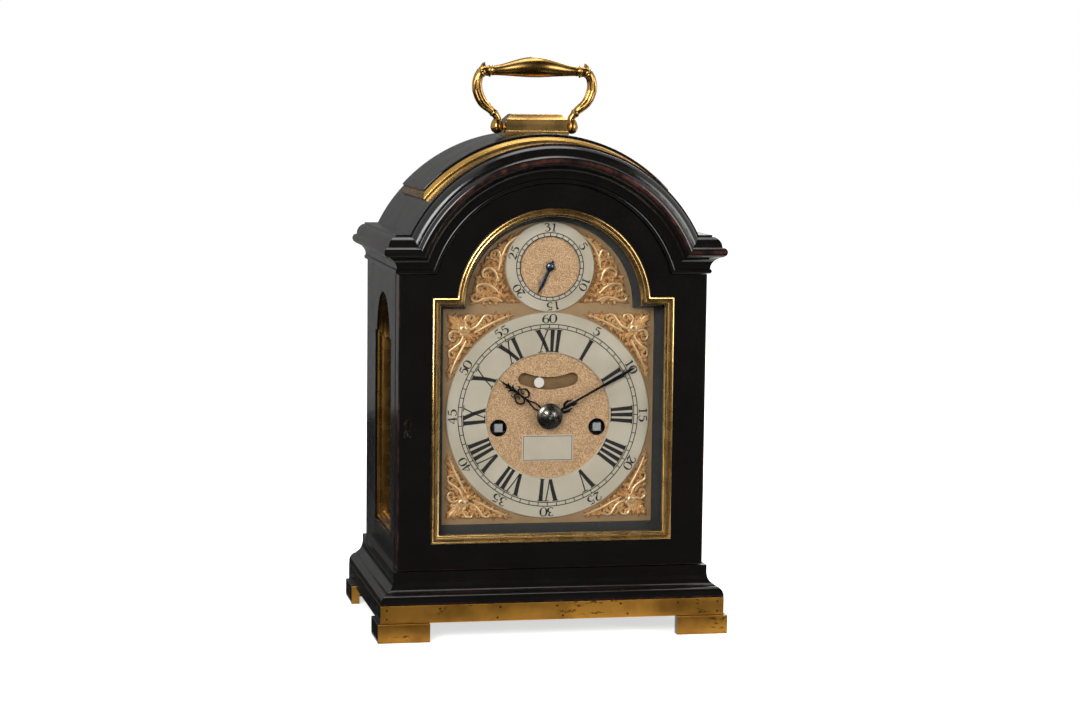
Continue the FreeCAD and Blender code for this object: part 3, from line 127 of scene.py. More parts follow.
def distanceFrom(tree, place, centre):
    # distance in metres from the line along Y through an (x, z) centre
    flat = addNode(tree, "VectorMath", {"operation": "MULTIPLY"}, {0: place, 1: (1.0, 0.0, 1.0)}).outputs[0]
    spot = (centre[0] * mm, 0.0, centre[1] * mm)
    return addNode(tree, "VectorMath", {"operation": "DISTANCE"}, {0: flat, 1: spot}).outputs["Value"]


def emboss(tree, height, strength, depth):
    # a bump of so many millimetres where the height is 1
    return addNode(tree, "Bump", {}, {"Strength": strength, "Distance": depth * mm, "Height": height}).outputs[0]


def newMaterial(name):
    material = bpy.data.materials.new(name)
    material.use_nodes = True
    tree = material.node_tree
    tree.nodes.clear()
    shader = addNode(tree, "BsdfPrincipled")
    addNode(tree, "OutputMaterial", {}, {0: shader.outputs[0]})
    return material, tree, shader, addNode(tree, "TexCoord").outputs["Object"]


shaderSockets = {"colour": "Base Color", "metallic": "Metallic", "roughness": "Roughness", "ior": "IOR",
                 "alpha": "Alpha",
                 "specular": "Specular IOR Level", "normal": "Normal", "glow": "Emission Strength",
                 "glowColour": "Emission Color"}


def setShader(shader, **values):
    for name, value in values.items():
        fill(shader.inputs[shaderSockets[name]], value)


# Materials. Sizes and depths are in millimetres.

wood = {
    "base": "#080707", "cloud": "#0e0d0c", "cloudSize": 34.0, "bare": "#4c2a20", "chipSize": 7.0, "runLength": 60.0,
    "poreLength": 9.0, "poreWidth": 0.35, "poreDepth": 0.04, "hazeSize": 22.0, "roughness": (0.11, 0.22),
    "specular": 0.42,
}


def lineGap(tree, place, kind, centre):
    # distance in metres from a worn line: "Y" and "Z" are planes at that height, "arch" is an edge at
    # (radius about the arch's axis, y), and "corner" an upright edge at (|x|, y)
    across = axes(tree, place)
    if kind in ("Y", "Z"):
        return calc(tree, "ABSOLUTE", calc(tree, "SUBTRACT", across["XYZ".index(kind)], centre * mm))
    away = distanceFrom(tree, place, (0.0, archZ)) if kind == "arch" else calc(tree, "ABSOLUTE", across[0])
    spot = addNode(tree, "CombineXYZ", {}, {0: away, 1: across[1]}).outputs[0]
    return addNode(tree, "VectorMath", {"operation": "DISTANCE"},
                   {0: spot, 1: (centre[0] * mm, centre[1] * mm, 0.0)}).outputs["Value"]


def ebonisedPearwood(name, wear=()):
    # French-polished pearwood stained black: near black and glossy, with faint pores along the grain,
    # hazy patches where hands polish it, and red-brown wood showing where noses and edges are rubbed
    material, tree, shader, place = newMaterial(name)
    colour = blend(tree, noise(tree, place, wood["cloudSize"], 4.0), wood["base"], wood["cloud"])
    worn = None
    for kind, centre, width, share in wear:
        # the share falls to nothing a width away from the line
        band = remap(tree, lineGap(tree, place, kind, centre), 0.0, width * mm, share, 0.0, "SMOOTHSTEP")
        worn = band if worn is None else calc(tree, "MAXIMUM", worn, band)
    if worn is not None:
        # chips thin the line, and slower noise breaks it into runs
        chips = remap(tree, noise(tree, place, wood["chipSize"], 5.0, 0.62), 0.42, 0.62, 0.15, 1.0)
        runs = remap(tree, noise(tree, place, wood["runLength"], 1.0), 0.38, 0.54, 0.0, 1.0)
        colour = blend(tree, calc(tree, "MULTIPLY", calc(tree, "MULTIPLY", chips, worn), runs), colour,
                       wood["bare"])
    grain = stretched(tree, place, (1.0, 1.0, wood["poreWidth"] / wood["poreLength"]))
    pores = noise(tree, grain, wood["poreWidth"], 3.0)
    hazeAndSheen = remap(tree, noise(tree, place, wood["hazeSize"], 6.0, 0.6), 0.3, 0.7, *wood["roughness"])
    setShader(shader, colour=colour, roughness=hazeAndSheen, normal=emboss(tree, pores, 0.05, wood["poreDepth"]), ior=1.5,
              specular=wood["specular"])
    return material


scuffs = {"length": 3.2, "gather": 46.0, "colour": "#2a1906", "footTop": 12.0, "stripBottom": 13.4,
          "footBrown": "#160e06"}


def scuffed(tree, place, colour):
    # short dark scuffs along the strip, gathered where slow noise is high, on feet that are browner
    # below the strip
    marks = noise(tree, stretched(tree, place, (0.35, 1.0, 1.0)), scuffs["length"], 6.0, 0.7)
    both = calc(tree, "MULTIPLY", marks, noise(tree, place, scuffs["gather"]))
    colour = blend(tree, remap(tree, both, 0.33, 0.37, 0.0, 0.8), colour, scuffs["colour"])
    low = remap(tree, axes(tree, place)[2], scuffs["footTop"] * mm, scuffs["stripBottom"] * mm, 0.56, 0.0)
    return blend(tree, low, colour, scuffs["footBrown"])


def castBrass(name, bright, deep, roughness, tarnishAndShade, patch, streak=(1.0, 1.0, 1.0), marked=False):
    # brass that was polished long ago: warm gold with brown tarnish gathering in clouds, and patches
    # rubbed less bright, which spread each highlight; in the darker copies for the handle and the roof pad the darker
    # colours are painted shade as well as tarnish
    material, tree, shader, place = newMaterial(name)
    colour = blend(tree, remap(tree, noise(tree, place, patch, 3.0), 0.42, 0.72, 0.0, tarnishAndShade), bright, deep)
    if marked:
        colour = scuffed(tree, place, colour)
    rub = noise(tree, stretched(tree, place, streak), 9.0, 0.0)
    rough = remap(tree, rub, 0.3, 0.7, roughness * 0.9, roughness * 1.15)
    setShader(shader, colour=colour, roughness=rough, metallic=1.0)
    return material


def plainMetal(name, bright, deep, roughness, grain=0.8, strength=0.10, metallic=1.0, patch=9.0):
    # a smoothly finished surface: one colour with a soft cloud, and grain from its last polishing
    material, tree, shader, place = newMaterial(name)
    fine = noise(tree, place, grain, 3.0)
    setShader(shader, colour=blend(tree, noise(tree, place, patch, 5.0), bright, deep), metallic=metallic,
              roughness=remap(tree, fine, 0.3, 0.7, roughness * 0.8, roughness * 1.25),
              normal=emboss(tree, fine, strength, 0.03))
    return material


dialPlate = {
    "border": "#bd9e74", "borderDeep": "#9a7a56", "matted": "#e8c498", "mattedDeep": "#a88058",
    "grit": 0.55, "gritDepth": 0.25, "mattedRadius": 44.2, "upperRadius": 21.2,
}


def mattedDialBrass(name):
    # dial plate of cast brass, gilded: the centres are matted with a punch, so they sparkle like
    # sand, and the border is plain and dull, with a faint grain
    material, tree, shader, place = newMaterial(name)
    inner = calc(tree, "LESS_THAN", distanceFrom(tree, place, dialCentre), dialPlate["mattedRadius"] * mm)
    upper = calc(tree, "LESS_THAN", distanceFrom(tree, place, calendarCentre), dialPlate["upperRadius"] * mm)
    mask = calc(tree, "MAXIMUM", inner, upper)
    punch = addNode(tree, "TexVoronoi", {}, {"Vector": place,
                                             "Scale": 1000.0 / (dialPlate["grit"] * 1.6)}).outputs[0]
    sand = noise(tree, place, dialPlate["grit"])
    matted = blend(tree, remap(tree, sand, 0.38, 0.62, 0.0, 1.0), dialPlate["mattedDeep"], dialPlate["matted"])
    border = blend(tree, noise(tree, place, 11.0, 6.0), dialPlate["borderDeep"], dialPlate["border"])
    depth = calc(tree, "MULTIPLY", calc(tree, "ADD", punch, sand), mask)
    setShader(shader, colour=blend(tree, mask, border, matted), metallic=0.5, roughness=0.46,
              normal=emboss(tree, depth, 0.7, dialPlate["gritDepth"]))
    return material


def clearGlass(name, reflectionGrey, hazeAndSheen):
    # old thin window glass: clear, with a faint grey reflection that grows at a slant; the reflection is painted, a
    # grey film whose alpha rises at a slant
    material, tree, shader, place = newMaterial(name)
    slant = addNode(tree, "LayerWeight", {}, {"Blend": 0.25}).outputs["Fresnel"]
    setShader(shader, alpha=remap(tree, slant, 0.0, 1.0, hazeAndSheen, 0.75), colour=reflectionGrey, roughness=0.03, ior=1.5,
              normal=emboss(tree, noise(tree, place, 40.0), 0.05, 0.3))
    return material


def arborBrass(name, centre, steelRadius, steelBefore):
    # a movement wheel: brass rim and crossings, with its pinion and arbor of polished steel, and
    # steel ahead of the front plate
    material, tree, shader, place = newMaterial(name)
    core = calc(tree, "LESS_THAN", distanceFrom(tree, place, centre), steelRadius * mm)
    mask = calc(tree, "MAXIMUM", core, calc(tree, "LESS_THAN", axes(tree, place)[1], steelBefore * mm))
    brass = blend(tree, noise(tree, place, 8.0, 5.0), "#c79a4c", "#a87c34")
    setShader(shader, colour=blend(tree, mask, brass, "#a9adab"), metallic=remap(tree, mask, 0.0, 1.0, 1.0, 0.35),
              roughness=remap(tree, noise(tree, place, 0.7), 0.3, 0.7, 0.20, 0.34))
    return material


gilding = {"ramp": [(0.20, "#452b15"), (0.40, "#a87a46"), (0.72, "#e2b680"), (1.0, "#f6d6a2")], "ground": 0.3,
           "crest": 1.75, "grit": 1.6, "depth": 0.12}


def giltCasting(name):
    # fire-gilt cast brass: the crests are rubbed to bright gold and brown dirt stays in the hollows; the colour set
    # by height also paints shade into the hollows and a highlight onto the crests
    material, tree, shader, place = newMaterial(name)
    grit = noise(tree, place, gilding["grit"], 4.0)
    # height above the dial picks the colour: the low ground is dirt and painted shade, the crests are rubbed gold and
    # a painted highlight
    level = remap(tree, axes(tree, place)[1], (dialFront - gilding["ground"]) * mm,
                  (dialFront - gilding["crest"]) * mm,
                  0.0, 1.0)
    reliefShadeAndWear = calc(tree, "MULTIPLY_ADD", grit, 0.5, level)
    ramp = addNode(tree, "ValToRGB", {}, {0: reliefShadeAndWear})
    stops = ramp.color_ramp.elements
    for _ in gilding["ramp"][2:]:
        stops.new(0.5)
    for stop, (height, colour) in zip(stops, gilding["ramp"]):
        stop.position, stop.color = height, hexColour(colour)
    setShader(shader, colour=ramp.outputs[0], roughness=remap(tree, reliefShadeAndWear, 0.3, 1.2, 0.55, 0.36), metallic=0.75,
              normal=emboss(tree, grit, 0.35, gilding["depth"]))
    return material


def dress(name, material):
    for entry in nodes[name].material_slots:
        entry.material = material


# Camera and studio, in metres

view = {"location": (-0.36895, -1.83386, 0.38331), "lens": 87.58, "yaw": 11.518, "down": 6.060, "roll": 0.692}
floorFlag = {"edge": -0.108, "side": -0.1238, "reach": 2.0, "lift": 0.001}
studio = {
    "ambient": 0.55, "floorGlow": 0.62, "floorColour": "#f4f4f2", "floorHalf": 6.0, "aim": (0.0, 0.0, 0.2),
    "lamps": (("keyLamp", (-1.2, -2.3, 1.3), 1.2, 58.0), ("fillLamp", (1.9, -2.1, 0.9), 1.3, 30.0),
              ("topLamp", (0.1, 0.2, 2.3), 1.2, 16.0), ("backLamp", (0.9, 1.9, 1.4), 1.2, 20.0)),
    # each flag is given by three corners in turn
    "flags": (
        ("blackFlagFront", "#2b2b2b", (-2.6, -3.0, 0.0), (-2.6, -3.0, 3.0), (2.6, -3.0, 3.0)),
        ("blackFlagAbove", "#1c1c1c", (-1.0, -3.0, 3.0), (2.6, -3.0, 3.0), (2.6, -0.3, 3.0)),
        ("blackFlagFloor", "#262626", (-floorFlag["reach"], -3.0, floorFlag["lift"]),
         (floorFlag["reach"], -3.0, floorFlag["lift"]), (floorFlag["reach"], floorFlag["edge"], floorFlag["lift"])),
        ("blackFlagBeside", "#262626", (-floorFlag["reach"], floorFlag["edge"], floorFlag["lift"]),
         (floorFlag["side"], floorFlag["edge"], floorFlag["lift"]), (floorFlag["side"], 1.2, floorFlag["lift"])),
        ("greyFlagBehind", "#666666", (-1.6, 1.3, 0.0), (-1.6, 1.3, 1.5), (0.2, 1.1, 1.5)),
    ),
}


def placed(name, data, right, ahead, spot):
    # an object at the spot that looks ahead along its -Z, with its X to the right
    turn = np.eye(4)
    turn[:3] = np.stack([right, np.cross(right, ahead), -ahead, spot], 1)
    made = bpy.data.objects.new(name, data)
    made.matrix_world = Matrix(turn.tolist())
    bpy.context.scene.collection.objects.link(made)
    return made


def makeCamera():
    yaw, down, roll = (math.radians(view[k]) for k in ("yaw", "down", "roll"))
    ahead = np.array([math.sin(yaw) * math.cos(down), math.cos(yaw) * math.cos(down), -math.sin(down)])
    level = np.array([math.cos(yaw), -math.sin(yaw), 0.0])
    data = bpy.data.cameras.new("photoCamera")
    data.lens, data.sensor_width, data.sensor_fit = view["lens"], 36.0, "HORIZONTAL"
    right = math.cos(roll) * level + math.sin(roll) * np.cross(level, ahead)
    bpy.context.scene.camera = placed("photoCamera", data, right, ahead, view["location"])


def seenDirectly(tree):
    # one for camera, glossy and transmission rays, which see the white background
    path = addNode(tree, "LightPath").outputs
    either = calc(tree, "MAXIMUM", path["Is Camera Ray"], path["Is Glossy Ray"])
    return calc(tree, "MAXIMUM", either, path["Is Transmission Ray"])


def makeStage(name, corners, material):
    mesh = bpy.data.meshes.new(name)
    mesh.from_pydata(corners, [], [(0, 1, 2, 3)])
    mesh.materials.append(material)
    made = bpy.data.objects.new(name, mesh)
    bpy.context.scene.collection.objects.link(made)
    return made


def makeStudio():
    scene = bpy.context.scene
    scene.view_settings.view_transform = "Standard"
    world = bpy.data.worlds.new("studioWorld")
    scene.world = world
    world.use_nodes = True
    tree = world.node_tree
    tree.nodes.clear()
    strength = remap(tree, seenDirectly(tree), 0.0, 1.0, studio["ambient"], 1.0)
    sky = addNode(tree, "Background", {}, {"Color": "#ffffff", "Strength": strength})
    addNode(tree, "OutputWorld", {}, {0: sky.outputs[0]})
    for name, spot, size, power in studio["lamps"]:
        data = bpy.data.lights.new(name, "AREA")
        data.shape, data.size, data.energy = "DISK", size, power
        ahead = np.subtract(studio["aim"], spot)
        ahead /= np.linalg.norm(ahead)
        side = np.cross(ahead, [0.0, 0.0, 1.0])
        placed(name, data, side / np.linalg.norm(side), ahead, spot)
    # smooth white paper, lit by the lamps and lifted to white for the eye, with the shadow left on it
    paper, tree, shader, _ = newMaterial("paleFloorPaper")
    setShader(shader, colour=studio["floorColour"], roughness=0.9, specular=0.0, glowColour="#ffffff",
              glow=remap(tree, seenDirectly(tree), 0.0, 1.0, 0.0, studio["floorGlow"]))
    half = studio["floorHalf"]
    makeStage("paleFloor", [(-half, -half, 0), (half, -half, 0), (half, half, 0), (-half, half, 0)], paper)
    for name, colour, first, second, third in studio["flags"]:
        # matt felt: a photographer's flag, seen only in gloss, which gives polish something dark to show
        felt, tree, shader, _ = newMaterial("feltFlag." + name)
        setShader(shader, colour=colour, roughness=1.0, specular=0.0)
        last = tuple(a + c - b for a, b, c in zip(first, second, third))
        flag = makeStage(name, [first, second, third, last], felt)
        flag.visible_camera = flag.visible_diffuse = flag.visible_shadow = False


makeCamera()
makeStudio()
print("camera and studio set")


# Shapes. A shell is (points in millimetres, faces); a grid of points gives its faces by row and column.

def gridFaces(rows, columns, wrapRows=False, wrapColumns=False):
    # each face joins point (i, j) to its next row and column, wrapping where the grid is closed
    i, j = np.meshgrid(np.arange(rows if wrapRows else rows - 1),
                       np.arange(columns if wrapColumns else columns - 1), indexing="ij")
    down, right = (i + 1) % rows, (j + 1) % columns
    return np.stack([i * columns + j, i * columns + right, down * columns + right, down * columns + j],
                    -1).reshape(-1, 4)


def gridShell(points, wrapRows=False, wrapColumns=False, caps=False):
    # points has shape (rows, columns, 3); caps close the first and the last row with one face each
    rows, columns = points.shape[:2]
    faces = gridFaces(rows, columns, wrapRows, wrapColumns).tolist()
    if caps:
        faces.append(list(range(columns))[::-1])
        faces.append([(rows - 1) * columns + c for c in range(columns)])
    return points.reshape(-1, 3), faces


def addPiece(name, mesh, body, replaced):
    # puts a finished mesh on its body and in place of the solids it stands for
    piece = bpy.data.objects.new(name, mesh)
    bpy.context.scene.collection.objects.link(piece)
    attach(piece, body)
    if replaced:
        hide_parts(*replaced)
    return piece


def finishMesh(mesh, material, sharp):
    # smooth shading that breaks at edges sharper than so many degrees
    mesh.materials.clear()
    mesh.materials.append(material)
    mesh.polygons.foreach_set("use_smooth", np.ones(len(mesh.polygons), bool))
    mesh.polygons.foreach_set("material_index", np.zeros(len(mesh.polygons), np.int32))
    mesh.set_sharp_from_angle(angle=math.radians(sharp))


def makePiece(name, shells, material, body, replaced=(), sharp=35.0):
    # joins shells into one mesh in metres, turns its faces outwards and hands it to the frame
    points, faces, start = [], [], 0
    for shellPoints, shellFaces in shells:
        points.append(shellPoints)
        faces += [[v + start for v in face] for face in shellFaces]
        start += len(shellPoints)
    mesh = bpy.data.meshes.new(name)
    mesh.from_pydata((np.concatenate(points) * mm).tolist(), [], faces)
    made = bmesh.new()
    made.from_mesh(mesh)
    bmesh.ops.remove_doubles(made, verts=made.verts, dist=1e-7)
    bmesh.ops.recalc_face_normals(made, faces=made.faces)
    made.to_mesh(mesh)
    made.free()
    finishMesh(mesh, material, sharp)
    return addPiece(name, mesh, body, replaced)


def smoothCurve(knots, steps=8, closed=False):
    # Catmull-Rom: between knots b and c the curve is the cubic that also heads as a to c and b to d do
    knots = np.array(knots, float)
    if closed:
        a, b, c, d = (np.roll(knots, s, 0) for s in (1, 0, -1, -2))
    else:
        ends = np.vstack([2 * knots[0] - knots[1], knots, 2 * knots[-1] - knots[-2]])
        a, b, c, d = ends[:-3], ends[1:-2], ends[2:-1], ends[3:]
    t = (np.arange(steps) / steps)[None, :, None]
    a, b, c, d = (k[:, None, :] for k in (a, b, c, d))
    curve = 0.5 * (2 * b + (c - a) * t + (2 * a - 5 * b + 4 * c - d) * t ** 2 + (3 * b - a - 3 * c + d) * t ** 3)
    curve = curve.reshape(-1, knots.shape[1])
    return curve if closed else np.vstack([curve, knots[-1:]])


# sections of a stroke as (across, height) pairs from -1 to 1 and 0 to 1
flatSection = np.array([(-1.0, 0.0), (-1.0, 1.0), (1.0, 1.0), (1.0, 0.0)])
roundSection = np.array([(-1.0, 0.0), (-0.96, 0.4), (-0.72, 0.8), (-0.3, 0.98), (0.3, 0.98), (0.72, 0.8),
                         (0.96, 0.4),
                         (1.0, 0.0)])
bevelSection = np.array([(-1.0, 0.0), (-1.0, 0.6), (-0.55, 1.0), (0.55, 1.0), (1.0, 0.6), (1.0, 0.0)])


def strokeShell(path, section, rise, base, closed=False):
    # the section carried along a path of (x, z, half width) rows:
    # point = path + normal x half width x across, and height above the base towards -Y
    spots, half = path[:, :2], path[:, 2]
    if closed:
        ahead = np.roll(spots, -1, 0) - np.roll(spots, 1, 0)
    else:
        ahead = np.gradient(spots, axis=0)
    ahead /= np.linalg.norm(ahead, axis=1)[:, None] + 1e-12
    normal = np.stack([ahead[:, 1], -ahead[:, 0]], 1)
    flat = spots[:, None] + normal[:, None] * half[:, None, None] * section[None, :, :1]
    heights = np.broadcast_to(base - rise * section[:, 1], flat.shape[:2])
    points = np.stack([flat[..., 0], heights, flat[..., 1]], -1)
    return gridShell(points, closed, True, not closed)


def latheShell(centre, profile, turns=96, closedProfile=True):
    # the (radius, y) profile turned about the line along Y through an (x, z) centre
    profile = np.array(profile, float)
    angle = np.linspace(0, 2 * np.pi, turns, endpoint=False)[:, None]
    points = np.stack([centre[0] + profile[:, 0] * np.sin(angle),
                       np.broadcast_to(profile[:, 1], (turns, len(profile))),
                       centre[1] + profile[:, 0] * np.cos(angle)], -1)
    return gridShell(points, True, closedProfile)


def ringToPlace(points, centre, angle, radius):
    # bends a flat glyph round a ring: its x becomes arc length at the radius and its z goes outwards
    turn = np.radians(angle) + points[:, 0] / radius
    out = radius + points[:, 2]
    return np.stack([centre[0] + out * np.sin(turn), points[:, 1], centre[1] + out * np.cos(turn)], 1)


def turnedTo(points, centre, angle):
    # turns points clockwise about the line along Y through a centre, and moves them there
    turn = math.radians(angle)
    x = points[:, 0] * math.cos(turn) + points[:, 2] * math.sin(turn)
    z = -points[:, 0] * math.sin(turn) + points[:, 2] * math.cos(turn)
    return np.stack([centre[0] + x, points[:, 1], centre[1] + z], 1)


# Engraving of the dial

# each digit is a list of pen strokes in a box one unit high: (x, z, half width) knots
digitStrokes = {
    "0": [[(0.0, 1.0, .022), (0.2, 0.86, .05), (0.27, 0.5, .085), (0.2, 0.14, .05), (0.0, 0.0, .022),
           (-0.2, 0.14, .05),
           (-0.27, 0.5, .085), (-0.2, 0.86, .05), (0.0, 1.0, .022)]],
    "1": [[(0.02, 0.03, .075), (0.02, 0.5, .07), (0.02, 0.97, .08)], [(-0.16, 0.02, .022), (0.2, 0.02, .022)],
          [(-0.16, 0.86, .015), (-0.06, 0.9, .03), (0.03, 0.99, .03)]],
    "2": [[(-0.21, 0.72, .05), (-0.17, 0.88, .03), (0.0, 1.0, .022), (0.2, 0.86, .06), (0.19, 0.6, .08),
           (0.0, 0.33, .04),
           (-0.24, 0.06, .022)],
          [(-0.26, 0.04, .022), (-0.1, 0.1, .06), (0.1, 0.04, .075), (0.24, 0.08, .03), (0.28, 0.2, .015)]],
    "3": [[(-0.2, 0.84, .05), (-0.08, 0.99, .022), (0.15, 0.88, .065), (0.12, 0.66, .05), (-0.04, 0.55, .015)],
          [(-0.04, 0.55, .015), (0.16, 0.5, .05), (0.25, 0.27, .085), (0.1, 0.03, .035), (-0.1, 0.02, .022),
           (-0.22, 0.16, .055)]],
    "4": [[(0.12, 1.0, .022), (-0.28, 0.3, .022)], [(-0.28, 0.29, .022), (0.28, 0.29, .022)],
          [(0.12, 1.0, .03), (0.12, 0.5, .07), (0.12, 0.02, .075)], [(-0.02, 0.01, .02), (0.25, 0.01, .02)]],
    "5": [[(-0.12, 0.97, .02), (0.04, 0.92, .055), (0.22, 1.0, .015)], [(-0.12, 0.97, .02), (-0.17, 0.56, .02)],
          [(-0.17, 0.56, .02), (0.0, 0.64, .03), (0.21, 0.5, .07), (0.24, 0.25, .085), (0.08, 0.02, .03),
           (-0.12, 0.03, .025), (-0.22, 0.17, .055)]],
    "6": [[(0.2, 0.95, .02), (0.0, 0.86, .035), (-0.2, 0.6, .065), (-0.24, 0.28, .085), (-0.08, 0.02, .025),
           (0.12, 0.02, .03), (0.24, 0.27, .08), (0.13, 0.52, .035), (-0.04, 0.54, .02), (-0.2, 0.38, .02)]],
}

engraving = {
    "depth": 0.05, "minuteInner": 61.2, "minuteOuter": 63.9, "lineHalf": 0.31, "tickHalf": 0.28,
    "minuteDigit": 6.1, "minuteDigitFoot": 64.9, "digitPitch": 0.86, "digitWide": 1.34, "romanFoot": 45.0,
    "romanTop": 60.2,
    "romanBar": 1.3, "romanThin": 0.42, "romanSerif": 0.32, "romanSerifReach": 1.95, "digitBold": 1.35,
    "digitHair": 0.25,
    "plateInset": 0.9, "plateLine": 0.16,
    "calendarTrack": 23.7, "calendarInner": 21.2, "calendarFoot": 24.7, "calendarDigit": 5.6,
}


def cut(path, base, closed=False, rise=None):
    # a flat stroke of black wax, so little proud of the face that it reads as a cut
    return strokeShell(np.array(path, float), flatSection, rise or engraving["depth"], base, closed)


def digitShells(text, height, centre, angle, foot, base):
    # the strokes of each digit, scaled to the height and set side by side round the ring
    made = []
    pitch = engraving["digitPitch"] * height
    for place, digit in enumerate(text):
        shift = (place - (len(text) - 1) / 2) * pitch
        for knots in digitStrokes[digit]:
            path = smoothCurve(knots, 6) * height
            path[:, 0] = path[:, 0] * engraving["digitWide"] + shift
            path[:, 2] = np.maximum(path[:, 2] * engraving["digitBold"], engraving["digitHair"])
            points, faces = cut(path, base)
            points[:, 2] -= height / 2
            made.append((ringToPlace(points, centre, angle, foot + height / 2), faces))
    return made


# each Roman letter: its width, its bars as (x at the top, x at the foot, weight),
# and its serifs as (x, 0 at the foot or 1 at the top)
romanLetters = {
    "I": (4.1, [(0.0, 0.0, "romanBar")], [(0.0, 0), (0.0, 1)]),
    "V": (8.6, [(-3.0, -0.35, "romanBar"), (3.0, 0.35, "romanThin")], [(-3.0, 1), (3.0, 1)]),
    "X": (8.4, [(-3.1, 3.1, "romanBar"), (3.1, -3.1, "romanThin")], [(-3.1, 1), (3.1, 1), (-3.1, 0), (3.1, 0)]),
}


def romanShells(text, centre, angle, base):
    # bars, diagonals and hair serifs between the foot and the top circle, standing on the centre
    foot, top = engraving["romanFoot"], engraving["romanTop"]
    tall, reach, hair = top - foot, engraving["romanSerifReach"], engraving["romanSerif"]
    left = -sum(romanLetters[letter][0] for letter in text) / 2
    paths = []
    for letter in text:
        wide, bars, serifs = romanLetters[letter]
        mid = left + wide / 2
        left += wide
        for high, low, weight in bars:
            knots = [(mid + low, 0.0), (mid + (low + high) / 2, tall / 2), (mid + high, tall)]
            paths.append([(*knot, engraving[weight]) for knot in knots])
        for across, end in serifs:
            paths.append([(mid + across + side * reach, end * tall, hair) for side in (-1, 1)])
    shells = []
    for path in paths:
        points, faces = cut(path, base)
        points[:, 2] -= tall / 2
        shells.append((ringToPlace(points, centre, angle, (foot + top) / 2), faces))
    return shells


def circleShell(centre, radius, base, steps=180):
    turn = np.linspace(0, 2 * np.pi, steps, endpoint=False)
    half = np.full(steps, engraving["lineHalf"])
    return cut(np.stack([centre[0] + radius * np.sin(turn), centre[1] + radius * np.cos(turn), half], 1), base,
               True)


def rayShell(centre, turn, knots, base):
    # a radial line through (radius, half width) knots
    return cut([(centre[0] + r * math.sin(turn), centre[1] + r * math.cos(turn), half) for r, half in knots], base)


def trackShells(centre, count, inner, outer, base, marks):
    # two circles and the radial lines between them, with a small dart at the marked ones
    shells = [circleShell(centre, radius, base) for radius in (inner, outer)]
    half = engraving["tickHalf"]
    for step in range(count):
        turn = 2 * math.pi * step / count
        shells.append(rayShell(centre, turn, [(inner, half), (outer, half)], base))
        if step in marks:
            shells.append(rayShell(centre, turn, [(inner - 0.1, 0.5), (inner + 1.0, 0.3), (outer, 0.18)], base))
    return shells


def engraveRings():
    wax = plainMetal("blackEngravingWax", "#161513", "#1d1b18", 0.5, 0.6, 0.1, 0.0)   # shellac wax rubbed into cuts
    shells = []
    for hour, text in enumerate(("XII", "I", "II", "III", "IIII", "V", "VI", "VII", "VIII", "IX", "X", "XI")):
        shells += romanShells(text, dialCentre, 30 * hour, chapterFace)
        shells += digitShells(str(5 * hour or 60), engraving["minuteDigit"], dialCentre, 30 * hour,
                              engraving["minuteDigitFoot"], chapterFace)
    shells += trackShells(dialCentre, 60, engraving["minuteInner"], engraving["minuteOuter"], chapterFace,
                          range(0, 60, 5))
    makePiece("chapterEngraving", shells, wax, "case")
    low, high = nodeBox("name_plate")
    x, z0, z1 = high[0] - engraving["plateInset"], low[2] + engraving["plateInset"], high[2] - engraving["plateInset"]
    corners = [(-x, z0), (x, z0), (x, z1), (-x, z1), (-x, z0)]
    sides = [[(*a, engraving["plateLine"]), (*b, engraving["plateLine"])] for a, b in zip(corners, corners[1:])]
    makePiece("namePlateLine", [cut(side, low[1], rise=0.04) for side in sides], wax, "case")
    shells = []
    for day in (31, 5, 10, 15, 20, 25):
        shells += digitShells(str(day), engraving["calendarDigit"], calendarCentre, 360 * day / 31,
                              engraving["calendarFoot"], calendarFace)
    shells += trackShells(calendarCentre, 31, engraving["calendarInner"], engraving["calendarTrack"],
                          calendarFace, (0,))
    makePiece("calendarEngraving", shells, wax, "case")


plates = {"chapterInner": 43.9, "calendarInner": 20.8, "ringChamfer": 0.45, "plateChamfer": 0.4}


def silverRings(silver):
    # flat rings with a bright chamfer inside and out: a rectangle profile with its front corners cut
    cut = plates["ringChamfer"]
    for name, centre, inner, outer, node in (
            ("chapterRingPlate", dialCentre, plates["chapterInner"], chapterOuter, "chapter_ring"),
            ("calendarRingPlate", calendarCentre, plates["calendarInner"], calendarOuter, "calendar_ring")):
        front, back = (side[1] for side in nodeBox(node))
        profile = [(inner, back), (inner, front + cut), (inner + cut, front), (outer - cut, front),
                   (outer, front + cut), (outer, back)]
        makePiece(name, [latheShell(centre, profile, 160)], silver, "case", [node], 20.0)
    low, high = nodeBox("name_plate")
    x, z0, z1 = high[0], low[2], high[2]
    loops = [(0.0, high[1]), (0.0, low[1] + 0.2), (plates["plateChamfer"], low[1])]
    grid = np.array([[(-x + m, y, z0 + m), (x - m, y, z0 + m), (x - m, y, z1 - m), (-x + m, y, z1 - m)] for m,
                     y in loops])
    makePiece("namePlate", [gridShell(grid, False, True, True)], silver, "case",
              ["name_plate"], 10.0)


# Hands of blued steel

hands = {
    "minuteAngle": 61.0, "hourAngle": 306.0, "calendarAngle": 205.0, "thickness": 0.95,
    "minuteHub": (5.4, 3.02), "hourHub": (7.3, 5.02), "calendarHub": (2.9, 1.6),
    "domeProfile": [(0.05, 0.02), (1.2, 0.1), (2.3, 0.5), (3.0, 1.1), (3.15, 1.5), (0.05, 1.5)],
}
